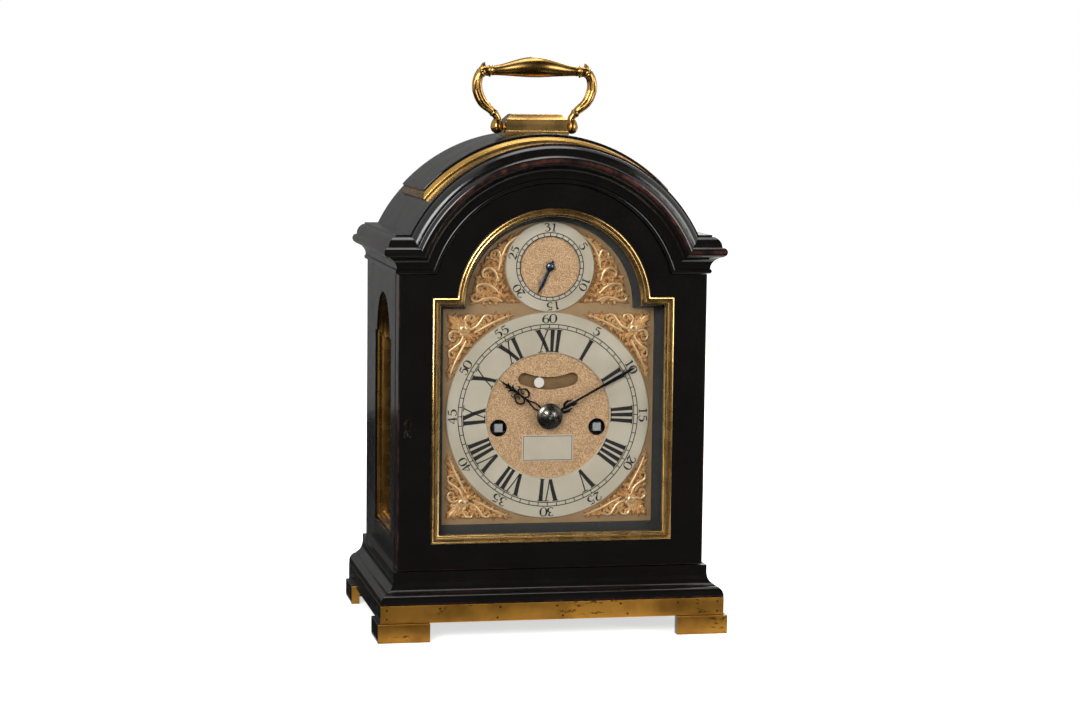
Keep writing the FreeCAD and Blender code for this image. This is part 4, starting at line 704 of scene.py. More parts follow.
# strokes as (points a knot, closed, knots of x, z and half width), with the hand pointing up
minuteStrokes = [
    (8, False, [(0.0, 4.5, 0.9), (0.0, 9.5, 0.75), (0.3, 14.5, 1.2), (0.2, 19.0, 1.0), (0.0, 24.0, 0.75),
                (0.0, 40.0, 0.85),
                (0.0, 58.0, 1.05), (0.0, 66.0, 0.8), (0.0, 70.0, 0.08)]),
    (6, False, [(0.3, 9.2, 0.7), (2.3, 10.2, 1.0), (3.4, 12.8, 0.95), (2.9, 15.6, 0.5), (3.3, 17.4, 0.15)]),
    (6, False, [(-0.3, 12.0, 0.7), (-2.1, 13.4, 0.9), (-2.9, 16.0, 0.75), (-2.2, 18.4, 0.4), (-2.7, 20.2, 0.12)]),
    (6, False, [(0.2, 17.0, 0.5), (1.7, 18.6, 0.6), (1.4, 21.0, 0.5), (2.2, 22.4, 0.1)]),
]
hourStrokes = [
    (6, True, [(0.0, 6.6, 0.6), (1.5, 9.5, 0.55), (1.75, 12.5, 0.5), (0.9, 16.2, 0.55), (0.0, 18.0, 0.6),
               (-0.9, 16.2, 0.55), (-1.75, 12.5, 0.5), (-1.5, 9.5, 0.55)]),
    (6, False, [(0.0, 17.6, 0.9), (0.0, 22.0, 0.65), (0.0, 28.0, 0.9), (0.0, 33.0, 1.0), (0.0, 38.0, 0.7),
                (0.0, 44.3, 0.08)]),
]
hourSideStrokes = [
    [(0.4, 22.0, 0.5), (2.4, 20.0, 0.6), (4.9, 21.4, 0.65), (5.6, 24.4, 0.6), (3.8, 26.9, 0.5), (1.9, 26.1, 0.45),
     (1.8, 24.4, 0.4), (2.9, 23.9, 0.15)],
    [(0.3, 26.6, 0.5), (1.8, 28.4, 0.6), (3.4, 28.0, 0.5), (4.2, 29.4, 0.35), (3.4, 30.8, 0.12)],
    [(0.3, 31.2, 0.6), (1.7, 33.2, 0.6), (3.3, 33.4, 0.12)],
    [(0.3, 34.0, 0.6), (1.1, 36.4, 0.5), (2.1, 37.6, 0.1)],
]
calendarStrokes = [(6, False, [(0.0, -4.8, 0.7), (0.0, 0.0, 1.0), (0.0, 6.0, 1.15), (0.0, 12.0, 1.3),
                               (0.0, 16.5, 1.0),
                               (0.0, 21.5, 0.1)])]


def handPiece(name, strokes, angle, centre, node, body, hub, steel):
    # each stroke, (points a knot, closed, knots), is bevelled; the hub is a turned washer with its bore
    low, high = nodeBox(node)
    base = high[1]
    rise = min(hands["thickness"], base - low[1] - 0.01)
    shells = []
    for steps, closed, knots in strokes:
        points, faces = strokeShell(smoothCurve(knots, steps, closed), bevelSection, rise, base, closed)
        shells.append((turnedTo(points, centre, angle), faces))
    outer, inner = hub
    profile = [(inner, base), (inner, base - rise), (outer - 0.3, base - rise), (outer, base - rise * 0.6),
               (outer, base)]
    shells.append(latheShell(centre, profile, 64))
    return makePiece(name, shells, steel, body, [node], 25.0)


def makeHands(steel, calendarSteel):
    handPiece("minuteHandPierced", minuteStrokes, hands["minuteAngle"], dialCentre, "minute_hand", "minute",
              hands["minuteHub"], steel)
    sides = [(6, False, np.array(knots) * (side, 1.0, 1.0)) for side in (1, -1) for knots in hourSideStrokes]
    handPiece("hourHandPierced", hourStrokes + sides, hands["hourAngle"], dialCentre, "hour_hand", "hour",
              hands["hourHub"], steel)
    front = nodeBox("calendar_hand")[0][1]
    profile = [(radius, front + depth) for radius, depth in hands["domeProfile"]]
    makePiece("calendarHandDome", [latheShell(calendarCentre, profile, 40)], calendarSteel, "calendar",
              (),
              30.0)
    handPiece("calendarHandFiled", calendarStrokes, hands["calendarAngle"], calendarCentre, "calendar_hand",
              "calendar",
              hands["calendarHub"], calendarSteel)


boss = {"bore": 1.62, "radius": 9.1, "pinAngle": 119.0, "pinHalf": 5.6, "pinSmall": 0.42, "pinTaper": 0.18,
        "pinSet": 0.75}


def makeBoss(black, steel):
    # a turned collet: flat rim, hollow step and a low cone, and the taper pin across it
    low, high = nodeBox("hand_boss")
    base, front = high[1], low[1]
    tall = base - front
    profile = [(boss["bore"], base), (boss["radius"], base), (boss["radius"], base - 0.5), (8.7, base - 0.9),
               (7.4, base - 1.5), (6.9, base - 1.75), (6.2, base - 2.3), (4.6, base - 0.80 * tall),
               (2.6, base - 0.94 * tall), (boss["bore"], base - 0.97 * tall)]
    makePiece("handBossTurned", [latheShell(dialCentre, profile, 72)], black, "minute",
              ["hand_boss"], 22.0)
    turn, half = math.radians(boss["pinAngle"]), boss["pinHalf"]
    along = np.linspace(-half, half, 12)[:, None]
    around = np.linspace(0, 2 * np.pi, 10, endpoint=False)
    radius = boss["pinSmall"] + boss["pinTaper"] * (along + half) / (2 * half)
    x = along * math.sin(turn) + radius * np.cos(around) * math.cos(turn)
    z = along * math.cos(turn) - radius * np.cos(around) * math.sin(turn)
    y = front + boss["pinSet"] + radius * np.sin(around)
    points = np.stack([x, y, z + dialCentre[1]], -1)
    makePiece("taperPin", [gridShell(points, False, True, True)], steel, "minute")


# Cast and turned brass

def breakArch(half, bottom, shoulder, radius, centreZ, steps=56):
    # closed outline of a window with an arched head: base, jambs, level shoulders, then the arc
    reach = math.sqrt(radius ** 2 - (shoulder - centreZ) ** 2)
    limit = math.atan2(reach, shoulder - centreZ)
    turn = np.linspace(limit, -limit, steps)
    arc = np.stack([radius * np.sin(turn), centreZ + radius * np.cos(turn)], 1)
    return np.vstack([[(-half, bottom), (half, bottom), (half, shoulder)], arc, [(-half, shoulder)]])


def sweptArch(profile, half, bottom, shoulder, radius, centreZ, place):
    # each (margin, depth) of the profile is the outline drawn in by the margin; the profile closes on itself
    loops = []
    for margin, depth in profile:
        outline = breakArch(half - margin, bottom + margin, shoulder - margin, radius - margin, centreZ)
        loops.append(place(outline, depth))
    return gridShell(np.array(loops), True, True)


def facingFront(outline, depth):
    return np.stack([outline[:, 0], np.full(len(outline), depth), outline[:, 1]], 1)


bezel = {
    "half": 85.0, "bottom": 65.3, "shoulder": 235.6, "radius": 68.1, "centreZ": 229.0,
    "profile": [(0.0, 5.6), (0.0, 1.2), (0.25, 0.55), (0.65, 0.12), (1.05, 0.0), (1.45, 0.14), (1.8, 0.6),
                (1.95, 1.3),
                (2.0, 2.2), (2.7, 2.25), (2.8, 1.6), (3.05, 1.15), (3.5, 0.92), (4.0, 1.0), (4.4, 1.35),
                (4.65, 2.0),
                (4.75, 2.6), (5.3, 2.75), (5.8, 3.1), (6.0, 3.6), (6.0, 5.6)],
}
lining = {
    "half": 39.5, "middle": 1.45, "bottom": 66.5, "shoulder": 204.0, "radius": 32.0, "centreZ": 202.0,
    "profile": [(0.1, 98.4), (0.1, 106.5), (0.35, 106.85), (0.8, 106.9), (1.3, 106.75), (1.6, 106.3), (1.7, 105.5),
                (2.3, 105.0), (3.0, 104.8), (3.0, 103.8), (3.25, 103.4), (4.3, 103.35), (4.8, 103.0), (5.0, 102.4),
                (5.0, 98.4)],
}


def framing(shape, place, profile):
    return sweptArch(profile, *(shape[k] for k in ("half", "bottom", "shoulder", "radius", "centreZ")), place)


def brassFrames(polished, liningBrass):
    # the door's sight ring: bead, dark groove and ovolo, mitred at its square corners
    front = nodeBox("door_bezel")[0][1]
    profile = [(m, front + d) for m, d in bezel["profile"]]
    makePiece("bezelMoulded", [framing(bezel, facingFront, profile)], polished, "front_door",
              ["door_bezel"], 32.0)
    shells = []
    for side in (1, -1):
        def facingSide(outline, depth, side=side):
            return np.stack([np.full(len(outline), side * depth), outline[:, 0] + lining["middle"],
                             outline[:, 1]], 1)
        shells.append(framing(lining, facingSide, lining["profile"]))
    makePiece("windowLiningsMoulded", shells, liningBrass, "case", ["window_linings"], 32.0)


pad = {
    "halfAngle": 50.0, "front": 26.0, "back": 131.0, "height": 3.7, "width": 5.0,
    "profile": [(0.0, 0.0), (0.0, 1.0), (0.15, 1.45), (0.5, 1.6), (0.8, 1.9), (1.2, 2.5), (2.0, 3.0), (2.9, 3.25),
                (3.1, 3.4), (3.3, 3.7), (5.0, 3.7), (5.0, 0.0)],
}


def padMoulding(polished):
    # a frame bent over the roof: across its section x becomes arc length and height grows outwards
    inner = roofRadius + 0.05
    loops = []
    for inward, up in pad["profile"]:
        limit = math.radians(pad["halfAngle"]) - inward / inner
        turn = np.linspace(-limit, limit, 96)
        y0, y1 = doorFront + pad["front"] + inward, doorFront + pad["back"] - inward
        turns = np.concatenate([turn, turn[::-1]])
        ys = np.concatenate([np.full(96, y0), np.full(96, y1)])
        loops.append(np.stack([(inner + up) * np.sin(turns), ys, archZ + (inner + up) * np.cos(turns)], 1))
    makePiece("padMouldingCast", [gridShell(np.array(loops), True, True)], polished, "case",
              ["pad_moulding"], 30.0)


block = {
    "half": 22.0, "width": 10.0, "topRadius": 118.4, "pinRadius": 1.6, "pinReach": 28.1, "pinRise": 3.6,
    "profile": [(-0.9, -3.0), (-0.9, 0.4), (-0.75, 0.8), (-0.3, 1.0), (-0.05, 1.3), (0.0, 1.8), (0.0, 5.0),
                (0.0, 8.9), (0.15, 9.2),
                (0.5, 9.5), (3.8, 12.8), (4.2, 13.0), (6.0, 13.0)],
}


def handleBlock(polished):
    # a hipped block whose foot follows the curve of the pad
    handleY = (nodeBox("handle_base")[0][1] + nodeBox("handle_base")[1][1]) / 2
    top = archZ + block["topRadius"]
    side = np.linspace(-1.0, 1.0, 17)
    loops = []
    for inset, up in block["profile"]:
        x, y = block["half"] - inset, block["width"] - inset
        xs = np.concatenate([side * x, side[::-1] * x])
        ys = np.concatenate([np.full(17, -y), np.full(17, y)]) + handleY
        surface = archZ + np.sqrt(block["topRadius"] ** 2 - xs ** 2)
        zs = surface + 0.02 if up < 0 else np.full(34, top + up)
        loops.append(np.stack([xs, ys, zs], 1))
    shells = [gridShell(np.array(loops), False, True, True)]
    reach = np.array([-block["pinReach"], -block["pinReach"] + 0.5, block["pinReach"] - 0.5, block["pinReach"]])
    around = np.linspace(0, 2 * np.pi, 24, endpoint=False)
    radius = block["pinRadius"] * np.array([0.7, 1.0, 1.0, 0.7])[:, None]
    points = np.stack([np.broadcast_to(reach[:, None], (4, 24)), handleY + radius * np.cos(around),
                       top + block["pinRise"] + radius * np.sin(around)], -1)
    shells.append(gridShell(points, False, True, True))
    makePiece("handleBlockCast", shells, polished, "case", ["handle_base"], 30.0)


def sweptTube(spots, radii, across=28, ridges=0, ridgeDepth=0.0, centreY=0.0):
    # a round section of the given radii along (x, z) spots, with lengthwise ridges: r (1 - depth |sin(n a)|)
    ahead = np.gradient(spots, axis=0)
    ahead /= np.linalg.norm(ahead, axis=1)[:, None] + 1e-12
    side = np.stack([ahead[:, 1], -ahead[:, 0]], 1)
    around = np.linspace(0, 2 * np.pi, across, endpoint=False)
    carve = 1.0 - np.outer(ridgeDepth if np.ndim(ridgeDepth) else np.full(len(spots), ridgeDepth),
                           1.0 - np.abs(np.cos(ridges * around / 2)))
    r = np.asarray(radii)[:, None] * carve
    x = spots[:, :1] + side[:, :1] * r * np.cos(around)
    z = spots[:, 1:] + side[:, 1:] * r * np.cos(around)
    return gridShell(np.stack([x, centreY + r * np.sin(around), z], -1), False, True, True)


bail = {"span": 41.5, "rise": 43.5, "ball": 4.6, "ballX": 27.1, "grip": 7.35}


def bailHandle(polished):
    low, high = nodeBox("bail_handle")
    handleY = (low[1] + high[1]) / 2
    pivot = archZ + block["topRadius"] + block["pinRise"]
    x, up = bail["span"], bail["rise"]
    spread = x - 26.9
    stations = [(26.9, pivot + 3.6, 2.9), (27.0, pivot + 0.155 * up, 2.55),
                (26.9 + 0.30 * spread, pivot + 0.275 * up, 3.0),
                (26.9 + 0.75 * spread, pivot + 0.41 * up, 3.6), (x, pivot + 0.615 * up, 3.75),
                (x - 0.7, pivot + 0.80 * up, 3.5), (x - 4.2, pivot + 0.905 * up, 3.5),
                (x - 8.4, pivot + 0.917 * up, 3.2)]
    arm = smoothCurve(stations, 10)
    share = np.linspace(0.0, 1.0, len(arm))
    radii = arm[:, 2].copy()
    for middle, width, more in ((0.24, 0.014, 0.55), (0.80, 0.012, 0.35), (0.845, 0.012, 0.5)):
        radii += more * np.exp(-((share - middle) / width) ** 2)
    depth = 0.22 * np.clip(np.sin(np.pi * (share - 0.24) / 0.54), 0.0, 1.0) * ((share > 0.24) & (share < 0.78))
    drop = np.linspace(-np.pi / 2, np.pi / 2, 22)
    rise = np.where(drop > 0, 1.55, 1.0)
    ballSpots = np.stack([np.full(22, bail["ballX"]), pivot + bail["ball"] * np.sin(drop) * rise], 1)
    ballRadii = bail["ball"] * np.cos(drop) * np.where(drop > 0, 1.0 - 0.12 * np.sin(drop), 1.0) + 0.02
    lengths = np.linspace(-36.2, 36.2, 121)
    spindle = 0.5 + 0.5 * np.cos(np.pi * np.clip(np.abs(lengths) / 33.0, 0.0, 1.0))
    grip = 3.35 + (bail["grip"] - 3.35) * spindle
    for middle, width, more in ((30.5, 0.6, 0.35), (32.6, 0.6, 0.6)):
        grip += more * np.exp(-((np.abs(lengths) - middle) / width) ** 2)
    gripZ = high[2] - bail["grip"]
    shells = []
    gripSpots = np.stack([lengths, gripZ - 2.6 * (1.0 - spindle)], 1)
    shells.append(sweptTube(gripSpots, grip, 40, 0, 0.0, handleY))
    for side in (1, -1):
        flip = np.array([side, 1.0])
        shells.append(sweptTube(arm[:, :2] * flip, radii, 32, 8, depth, handleY))
        shells.append(sweptTube(ballSpots * flip, ballRadii, 32, 0, 0.0, handleY))
        leafSpots = smoothCurve([(x - 5.2, pivot + 0.91 * up, 3.2), (x - 4.4, pivot + 0.975 * up, 2.5),
                                 (x - 4.6, pivot + 1.02 * up, 1.4), (x - 5.4, pivot + 1.05 * up, 0.3)], 6)
        shells.append(sweptTube(leafSpots[:, :2] * flip, leafSpots[:, 2], 20, 6, 0.18, handleY))
        under = smoothCurve([(x - 6.0, pivot + 0.89 * up, 2.6), (x - 8.6, pivot + 0.845 * up, 1.4),
                             (x - 9.0, pivot + 0.81 * up, 0.3)], 6)
        shells.append(sweptTube(under[:, :2] * flip, under[:, 2], 18, 4, 0.15, handleY))
    makePiece("bailHandleCast", shells, polished, "handle", ["bail_handle"], 34.0)


# Cast spandrels. Strokes are (x, z, half width) knots; a corner's second half swaps x and z.

leafSection = np.array([(-1.0, 0.0), (-0.97, 0.3), (-0.72, 0.8), (-0.42, 0.95), (-0.12, 0.62), (0.0, 0.5),
                        (0.12, 0.62),
                        (0.42, 0.95), (0.72, 0.8), (0.97, 0.3), (1.0, 0.0)])
cornerHalf = {
    "stems": [
        [(63.4, 58.4, 1.1), (67.0, 59.6, 1.3), (70.3, 57.4, 1.3), (70.0, 53.6, 1.1), (67.1, 52.7, 0.9),
         (66.2, 55.0, 0.7),
         (67.8, 55.9, 0.5)],
        [(60.4, 56.2, 1.2), (62.6, 51.4, 1.5), (66.2, 48.3, 1.6), (70.0, 45.6, 1.3), (70.3, 41.8, 1.1),
         (67.8, 40.8, 0.9),
         (66.6, 43.0, 0.8), (68.2, 44.0, 0.5)],
        [(58.2, 53.2, 1.0), (61.4, 46.8, 1.3), (64.6, 41.0, 1.3), (67.2, 35.4, 1.2), (69.4, 29.6, 1.0),
         (70.9, 24.6, 0.35)],
    ],
    "leaves": [
        [(61.6, 60.6, 0.7), (66.4, 62.3, 1.7), (71.2, 62.0, 0.3)],
        [(62.4, 61.8, 0.7), (67.2, 65.2, 1.7), (71.2, 67.0, 0.3)],
        [(62.8, 55.2, 0.5), (65.0, 51.6, 1.2), (65.0, 48.6, 0.3)],
        [(67.2, 50.6, 0.5), (69.6, 50.0, 1.1), (71.4, 47.8, 0.2)],
        [(64.6, 45.6, 0.5), (62.6, 43.2, 1.1), (63.6, 40.2, 0.2)],
        [(66.2, 38.6, 0.5), (69.3, 38.0, 1.2), (71.3, 35.6, 0.2)],
        [(68.0, 34.6, 0.4), (70.3, 33.2, 0.9), (71.3, 30.6, 0.2)],
        [(66.6, 36.8, 0.4), (66.2, 33.6, 0.8), (67.9, 31.4, 0.2)],
        [(58.0, 55.6, 0.5), (56.2, 52.6, 1.2), (56.8, 49.6, 0.2)],
    ],
}
cornerMiddle = {
    "leaves": [[(62.6, 62.6, 0.8), (67.6, 67.6, 2.0), (71.3, 71.3, 0.3)], [(58.4, 58.4, 0.8), (55.6, 55.6, 1.5),
                                                                         (53.2, 53.2, 0.2)]],
}
archHalf = {
    "stems": [
        [(33.4, 231.4, 1.1), (39.6, 233.8, 1.5), (46.0, 233.2, 1.5), (51.6, 231.2, 1.2), (55.0, 233.0, 1.1),
         (53.8, 236.2, 0.9), (51.0, 235.6, 0.7), (51.8, 233.6, 0.4)],
        [(35.4, 237.0, 1.1), (40.8, 241.6, 1.5), (46.6, 243.6, 1.4), (51.2, 241.8, 1.2), (51.2, 238.4, 1.0),
         (48.0, 238.0, 0.8), (47.8, 240.4, 0.5)],
        [(36.4, 245.4, 1.1), (38.4, 251.4, 1.5), (42.8, 254.6, 1.4), (47.0, 252.6, 1.2), (47.0, 248.8, 1.0),
         (43.8, 248.2, 0.8), (43.4, 250.6, 0.5)],
        [(36.2, 253.0, 1.0), (34.9, 260.0, 1.4), (36.6, 266.2, 1.4), (40.6, 266.2, 1.2), (41.8, 262.8, 1.0),
         (39.2, 260.8, 0.8), (37.8, 262.6, 0.4)],
        [(34.2, 262.4, 1.0), (30.4, 270.2, 1.3), (25.0, 275.4, 1.1), (19.6, 278.6, 0.3)],
    ],
    "leaves": [
        [(40.6, 235.6, 0.5), (43.6, 238.4, 1.3), (47.0, 236.4, 0.2)], [(36.0, 233.4, 0.5), (34.0, 236.6, 1.1),
                                                                     (36.0, 239.8, 0.2)],
        [(41.8, 244.0, 0.5), (42.6, 247.4, 1.2), (40.2, 249.4, 0.2)], [(47.4, 245.0, 0.5), (50.6, 246.4, 1.1),
                                                                     (53.0, 243.6, 0.2)],
        [(43.6, 256.6, 0.5), (43.2, 259.8, 1.2), (45.2, 257.6, 0.2)], [(38.4, 254.4, 0.5), (39.6, 258.4, 1.1),
                                                                     (42.6, 260.2, 0.2)],
        [(33.6, 266.4, 0.5), (33.6, 270.6, 1.2), (31.2, 274.2, 0.2)], [(29.2, 273.0, 0.5), (27.8, 276.4, 1.0),
                                                                     (24.4, 278.4, 0.2)],
        [(52.0, 230.6, 0.5), (54.4, 230.2, 0.9), (56.6, 230.4, 0.2)], [(34.2, 256.6, 0.4), (33.2, 260.6, 0.8),
                                                                     (32.6, 264.4, 0.2)],
    ],
}
casting = {"web": 0.45, "stem": 1.75, "leaf": 1.6, "boss": 1.9}


def dome(x, z, radius, rise, hole=0.0):
    # a low cast boss, with a drilled centre if a hole is given
    inner = max(hole, 0.05)
    profile = [(radius, dialFront), (radius, dialFront - 0.4 * rise), (radius * 0.8, dialFront - 0.85 * rise),
               (radius * 0.5, dialFront - rise), (inner + 0.15, dialFront - rise * 0.97),
               (inner, dialFront - rise * 0.8),
               (inner, dialFront)]
    return latheShell((x, z), profile, 20)


def ornament(sets, sizes):
    # every knot list becomes a smooth stroke with a domed or a veined section
    shells = []
    for kind, section, rise in (("stems", roundSection, sizes["stem"]), ("leaves", leafSection, sizes["leaf"])):
        for knots in sets.get(kind, []):
            path = smoothCurve(knots, 6)
            path[:, 2] *= 0.86
            shells.append(strokeShell(path, section, rise, dialFront))
    return shells


def web(points, rise):
    # a thin flat plate of the casting: two outlines joined by its edge
    outline = np.array(points)
    rows = [np.stack([outline[:, 0], np.full(len(outline), y), outline[:, 1]], 1) for y in (dialFront,
                                                                                            dialFront - rise)]
    return gridShell(np.array(rows), False, True, True)


def swapped(shells):
    return [(points[:, [2, 1, 0]], faces) for points, faces in shells]


def scattered(inside, low, high, seed, spacing=2.6):
    # small curled leaves that fill the ground of a casting: each keeps its distance from the others
    draw = np.random.default_rng(seed)
    spots = []
    for x, z in draw.uniform(low, high, (2600, 2)):
        if inside(x, z) and all((x - a) ** 2 + (z - b) ** 2 > spacing ** 2 for a, b in spots):
            spots.append((x, z))
    shells = []
    for x, z in spots:
        heading = math.sin(x * 0.31) * 2.6 + math.cos(z * 0.27) * 2.6 + draw.uniform(-0.9, 0.9)
        bend, size = draw.choice((-1.0, 1.0)) * draw.uniform(0.5, 1.1), draw.uniform(1.9, 3.0)
        a, b = np.array([math.sin(heading), math.cos(heading)]), np.array([math.cos(heading), -math.sin(heading)])
        knots = [(*(np.array([x, z]) + a * size * t + b * bend * size * t * t), w)
                 for t, w in ((-0.9, 0.35), (-0.2, 1.2), (0.4, 1.1), (0.95, 0.2))]
        shells.append(strokeShell(smoothCurve(knots, 3), leafSection, draw.uniform(1.15, 1.85), dialFront))
    return shells


def castSpandrels(gilt):
    half = ornament(cornerHalf, casting)
    corner = half + swapped(half) + ornament(cornerMiddle, casting)
    corner += [dome(60.4, 60.4, 3.4, casting["boss"], 1.0)]
    petals = np.radians(np.arange(8) * 45.0 + 22.5)
    corner += [dome(60.4 + 3.6 * math.sin(a), 60.4 + 3.6 * math.cos(a), 1.35,
                    casting["leaf"] * 0.8) for a in petals]
    corner += [dome(x, z, 1.0, casting["leaf"]) for x, z in ((64.2, 66.9), (66.9, 64.2), (69.2, 56.0),
                                                             (56.0, 69.2))]
    corner += scattered(lambda x, z: x * x + z * z > 74.9 ** 2, (26.0, 26.0), (70.0, 70.0), 11)
    ring = np.radians(np.linspace(30.5, 59.5, 24))
    inner = np.stack([73.4 * np.sin(ring), 73.4 * np.cos(ring)], 1)
    edge = [(70.2, 37.0), (69.2, 43.0), (70.0, 49.0), (69.0, 54.0), (70.2, 60.0), (70.2, 66.0), (70.2, 70.2)]
    outline = [tuple(p) for p in inner] + [(x, z) for x, z in edge] + [(z, x) for x, z in edge[:-1][::-1]]
    plate = web(outline, casting["web"])
    shells = []
    for side in (1.0, -1.0):
        for level in (1.0, -1.0):
            for points, faces in corner + [plate]:
                scale = np.array([side, 1.0, level])
                shells.append((points * scale + np.array([0.0, 0.0,
                                                          dialCentre[1] - (0.3 if level < 0 else 0.0)]), faces))
    arch = ornament(archHalf, casting) + [dome(x, z, r, casting["leaf"]) for x, z, r in
                                          ((37.6, 229.9, 1.2), (42.0, 230.2, 1.0), (46.6, 230.0, 1.0),
                                           (49.6, 248.6, 1.1),
                                           (44.2, 262.0, 1.2), (35.6, 271.0, 1.0), (38.0, 243.4, 1.2))]
    arch += scattered(lambda x, z: x * x + (z - calendarCentre[1]) ** 2 > 34.0 ** 2
                      and x * x + (z - 227.6) ** 2 < 55.0 ** 2, (20.0, 231.0), (56.0, 279.0), 12)
    calendar = np.radians(np.linspace(142.0, 34.0, 30))
    inner = np.stack([32.2 * np.sin(calendar), calendarCentre[1] + 32.2 * np.cos(calendar)], 1)
    spread = np.radians(np.linspace(24.0, 86.5, 30))
    outer = np.stack([55.4 * np.sin(spread), 227.6 + 55.4 * np.cos(spread)], 1)
    plate = web([tuple(p) for p in inner[inner[:, 1] > 229.4]] + [tuple(p) for p in outer], casting["web"])
    for side in (1.0, -1.0):
        for points, faces in arch + [plate]:
            shells.append((points * np.array([side, 1.0, 1.0]), faces))
    makePiece("spandrelsCast", shells, gilt, "case", ["dial_spandrels"], 40.0)


tray = {"half": 25.6, "bottom": 167.6, "top": 184.4, "gap": 0.45, "sheet": 0.55, "cheek": 1.0, "dialThickness": 2.0}


def slotTray(brass):
    # a brushed brass sheet behind the slot of the false pendulum, on two side cheeks
    bobBack = nodeBox("mock_bob")[1][1]
    front, half, inner = bobBack + tray["gap"], tray["half"], tray["half"] - tray["cheek"]
    dialBack = dialFront + tray["dialThickness"]
    shells = []
    for x0, x1, y0, y1 in ((-half, half, front, front + tray["sheet"]), (-half, -inner, dialBack, front + 0.1),
                           (inner, half, dialBack, front + 0.1)):
        corners = ((x0, tray["bottom"]), (x1, tray["bottom"]), (x1, tray["top"]), (x0, tray["top"]))
        grid = np.array([[(x, y, z) for x, z in corners] for y in (y0, y1)])
        shells.append(gridShell(grid, False, True, True))
    makePiece("slotBackSheet", shells, brass, "case", (), 20.0)


collet = {"spread": 35.0, "profile": [(4.85, 0.12), (5.15, 0.0), (5.5, 0.05), (5.85, 0.4), (5.95, 1.0)],
          "bore": 4.6,
          "rim": 5.95, "step": 0.5}


def collets(black):
    # turned rims round the winding holes, with a rounded front edge
    low, high = nodeBox("winding_collets")
    profile = [(collet["bore"], high[1]), (collet["bore"], low[1] + collet["step"])]
    profile += [(radius, low[1] + depth) for radius, depth in collet["profile"]] + [(collet["rim"], high[1])]
    z = (low[2] + high[2]) / 2
    shells = [latheShell((x, z), profile, 48) for x in (-collet["spread"], collet["spread"])]
    makePiece("windingColletsTurned", shells, black, "case", ["winding_collets"], 30.0)


softening = {"corner": 28.0, "steps": 2, "shade": 38.0, "merge": 2e-6, "flat": 0.4}


def softened(node, material, body, width):
    # a copy of the solid with its outward edges rounded, as hand-finished wood and sheet have
    mesh = nodes[node].data.copy()
    made = bmesh.new()
    made.from_mesh(mesh)
    bmesh.ops.remove_doubles(made, verts=made.verts, dist=softening["merge"])
    bmesh.ops.dissolve_limit(made, angle_limit=math.radians(softening["flat"]), verts=made.verts, edges=made.edges)
    edges = [e for e in made.edges if len(e.link_faces) == 2 and e.is_convex
             and e.calc_face_angle() > math.radians(softening["corner"])]
    bmesh.ops.bevel(made, geom=edges, offset=width * mm, offset_type="OFFSET", segments=softening["steps"],
                    profile=0.5,
                    affect="EDGES", clamp_overlap=True)
    made.to_mesh(mesh)
    made.free()
    mesh.name = node + "Softened"
    finishMesh(mesh, material, softening["shade"])
    piece = addPiece(mesh.name, mesh, body, [node])
    piece.modifiers.new("evenNormals", "WEIGHTED_NORMAL").keep_sharp = True


nails = {
    "strip": ((-117, 16.2), (-117, 22.6), (-80, 22.9), (-40, 15.6), (-38, 23.0), (2, 22.8), (6, 15.8), (47, 23.0),
              (52, 15.7), (88, 22.7), (116.5, 16.0), (116.5, 22.8)),
    "feet": ((-119.5, -92.0, 92.0, 119.5), (3.4, 9.8)), "stripInset": 12.8,
    "stripHead": [(0.05, -0.16), (0.5, -0.13), (0.85, -0.03), (0.9, 0.1), (0.05, 0.1)],
    "footHead": [(0.05, 0.0), (0.5, 0.02), (0.85, 0.06), (0.9, 0.2), (0.05, 0.2)],
}


def nailHead(x, z, front, head):
    return latheShell((x, z), [(radius, front + depth) for radius, depth in head], 14)


def stripNails(dark):
    # round heads of the pins that hold the brass strip and the feet's brass, nearly flush
    front = doorFront - nails["stripInset"]
    shells = [nailHead(x, z, front, nails["stripHead"]) for x, z in nails["strip"]]
    front = nodeBox("base_facings")[0][1]
    across, heights = nails["feet"]
    shells += [nailHead(x, z, front, nails["footHead"]) for x in across for z in heights]
    makePiece("stripNails", shells, dark, "case", (), 30.0)


# Finishes of the case, the metals and the rest

def dressCase():
    nose = corniceTop - corniceHeight + 15.4
    plain = ebonisedPearwood("ebonisedPearwood")
    side = ebonisedPearwood("ebonisedPearwoodSides", [("Y", -56.0, 1.2, 0.5), ("Z", 48.0, 2.5, 0.6)])
    door = ebonisedPearwood("ebonisedPearwoodDoor", [("corner", (108.0, doorFront), 1.3, 0.5),
                                                     ("Z", 47.4, 0.6, 0.3)])
    cornice = ebonisedPearwood("ebonisedPearwoodCornice", [("Z", nose, 2.2, 0.7), ("Z", corniceTop, 0.8, 0.4)])
    arch = ebonisedPearwood("ebonisedPearwoodArch", [("arch", (archInner + corniceHeight, doorFront - 2.3), 1.6,
                                                      0.7),
                                                    ("arch", (archInner + 15.4, doorFront - 11.3), 2.6, 0.85)])
    plinth = ebonisedPearwood("ebonisedPearwoodPlinth", [("Z", 26.0, 1.6, 0.4), ("Z", 33.0, 0.8, 0.3)])
    for name in ("back_frame", "roof_shell"):
        dress(name, plain)
    for name, material, body in (
            ("roof_pad", plain, "case"), ("back_door_frame", plain, "back_door"), ("bracket_feet", plain, "case"),
            ("base_board", plain, "case"), ("side_panel_left", side, "case"), ("side_panel_right", side, "case"),
            ("door_frame", door, "front_door"), ("cornice_mouldings", cornice, "case"),
            ("arch_moulding", arch, "case"),
            ("plinth_moulding", plinth, "case")):
        softened(name, material, body, 0.45)


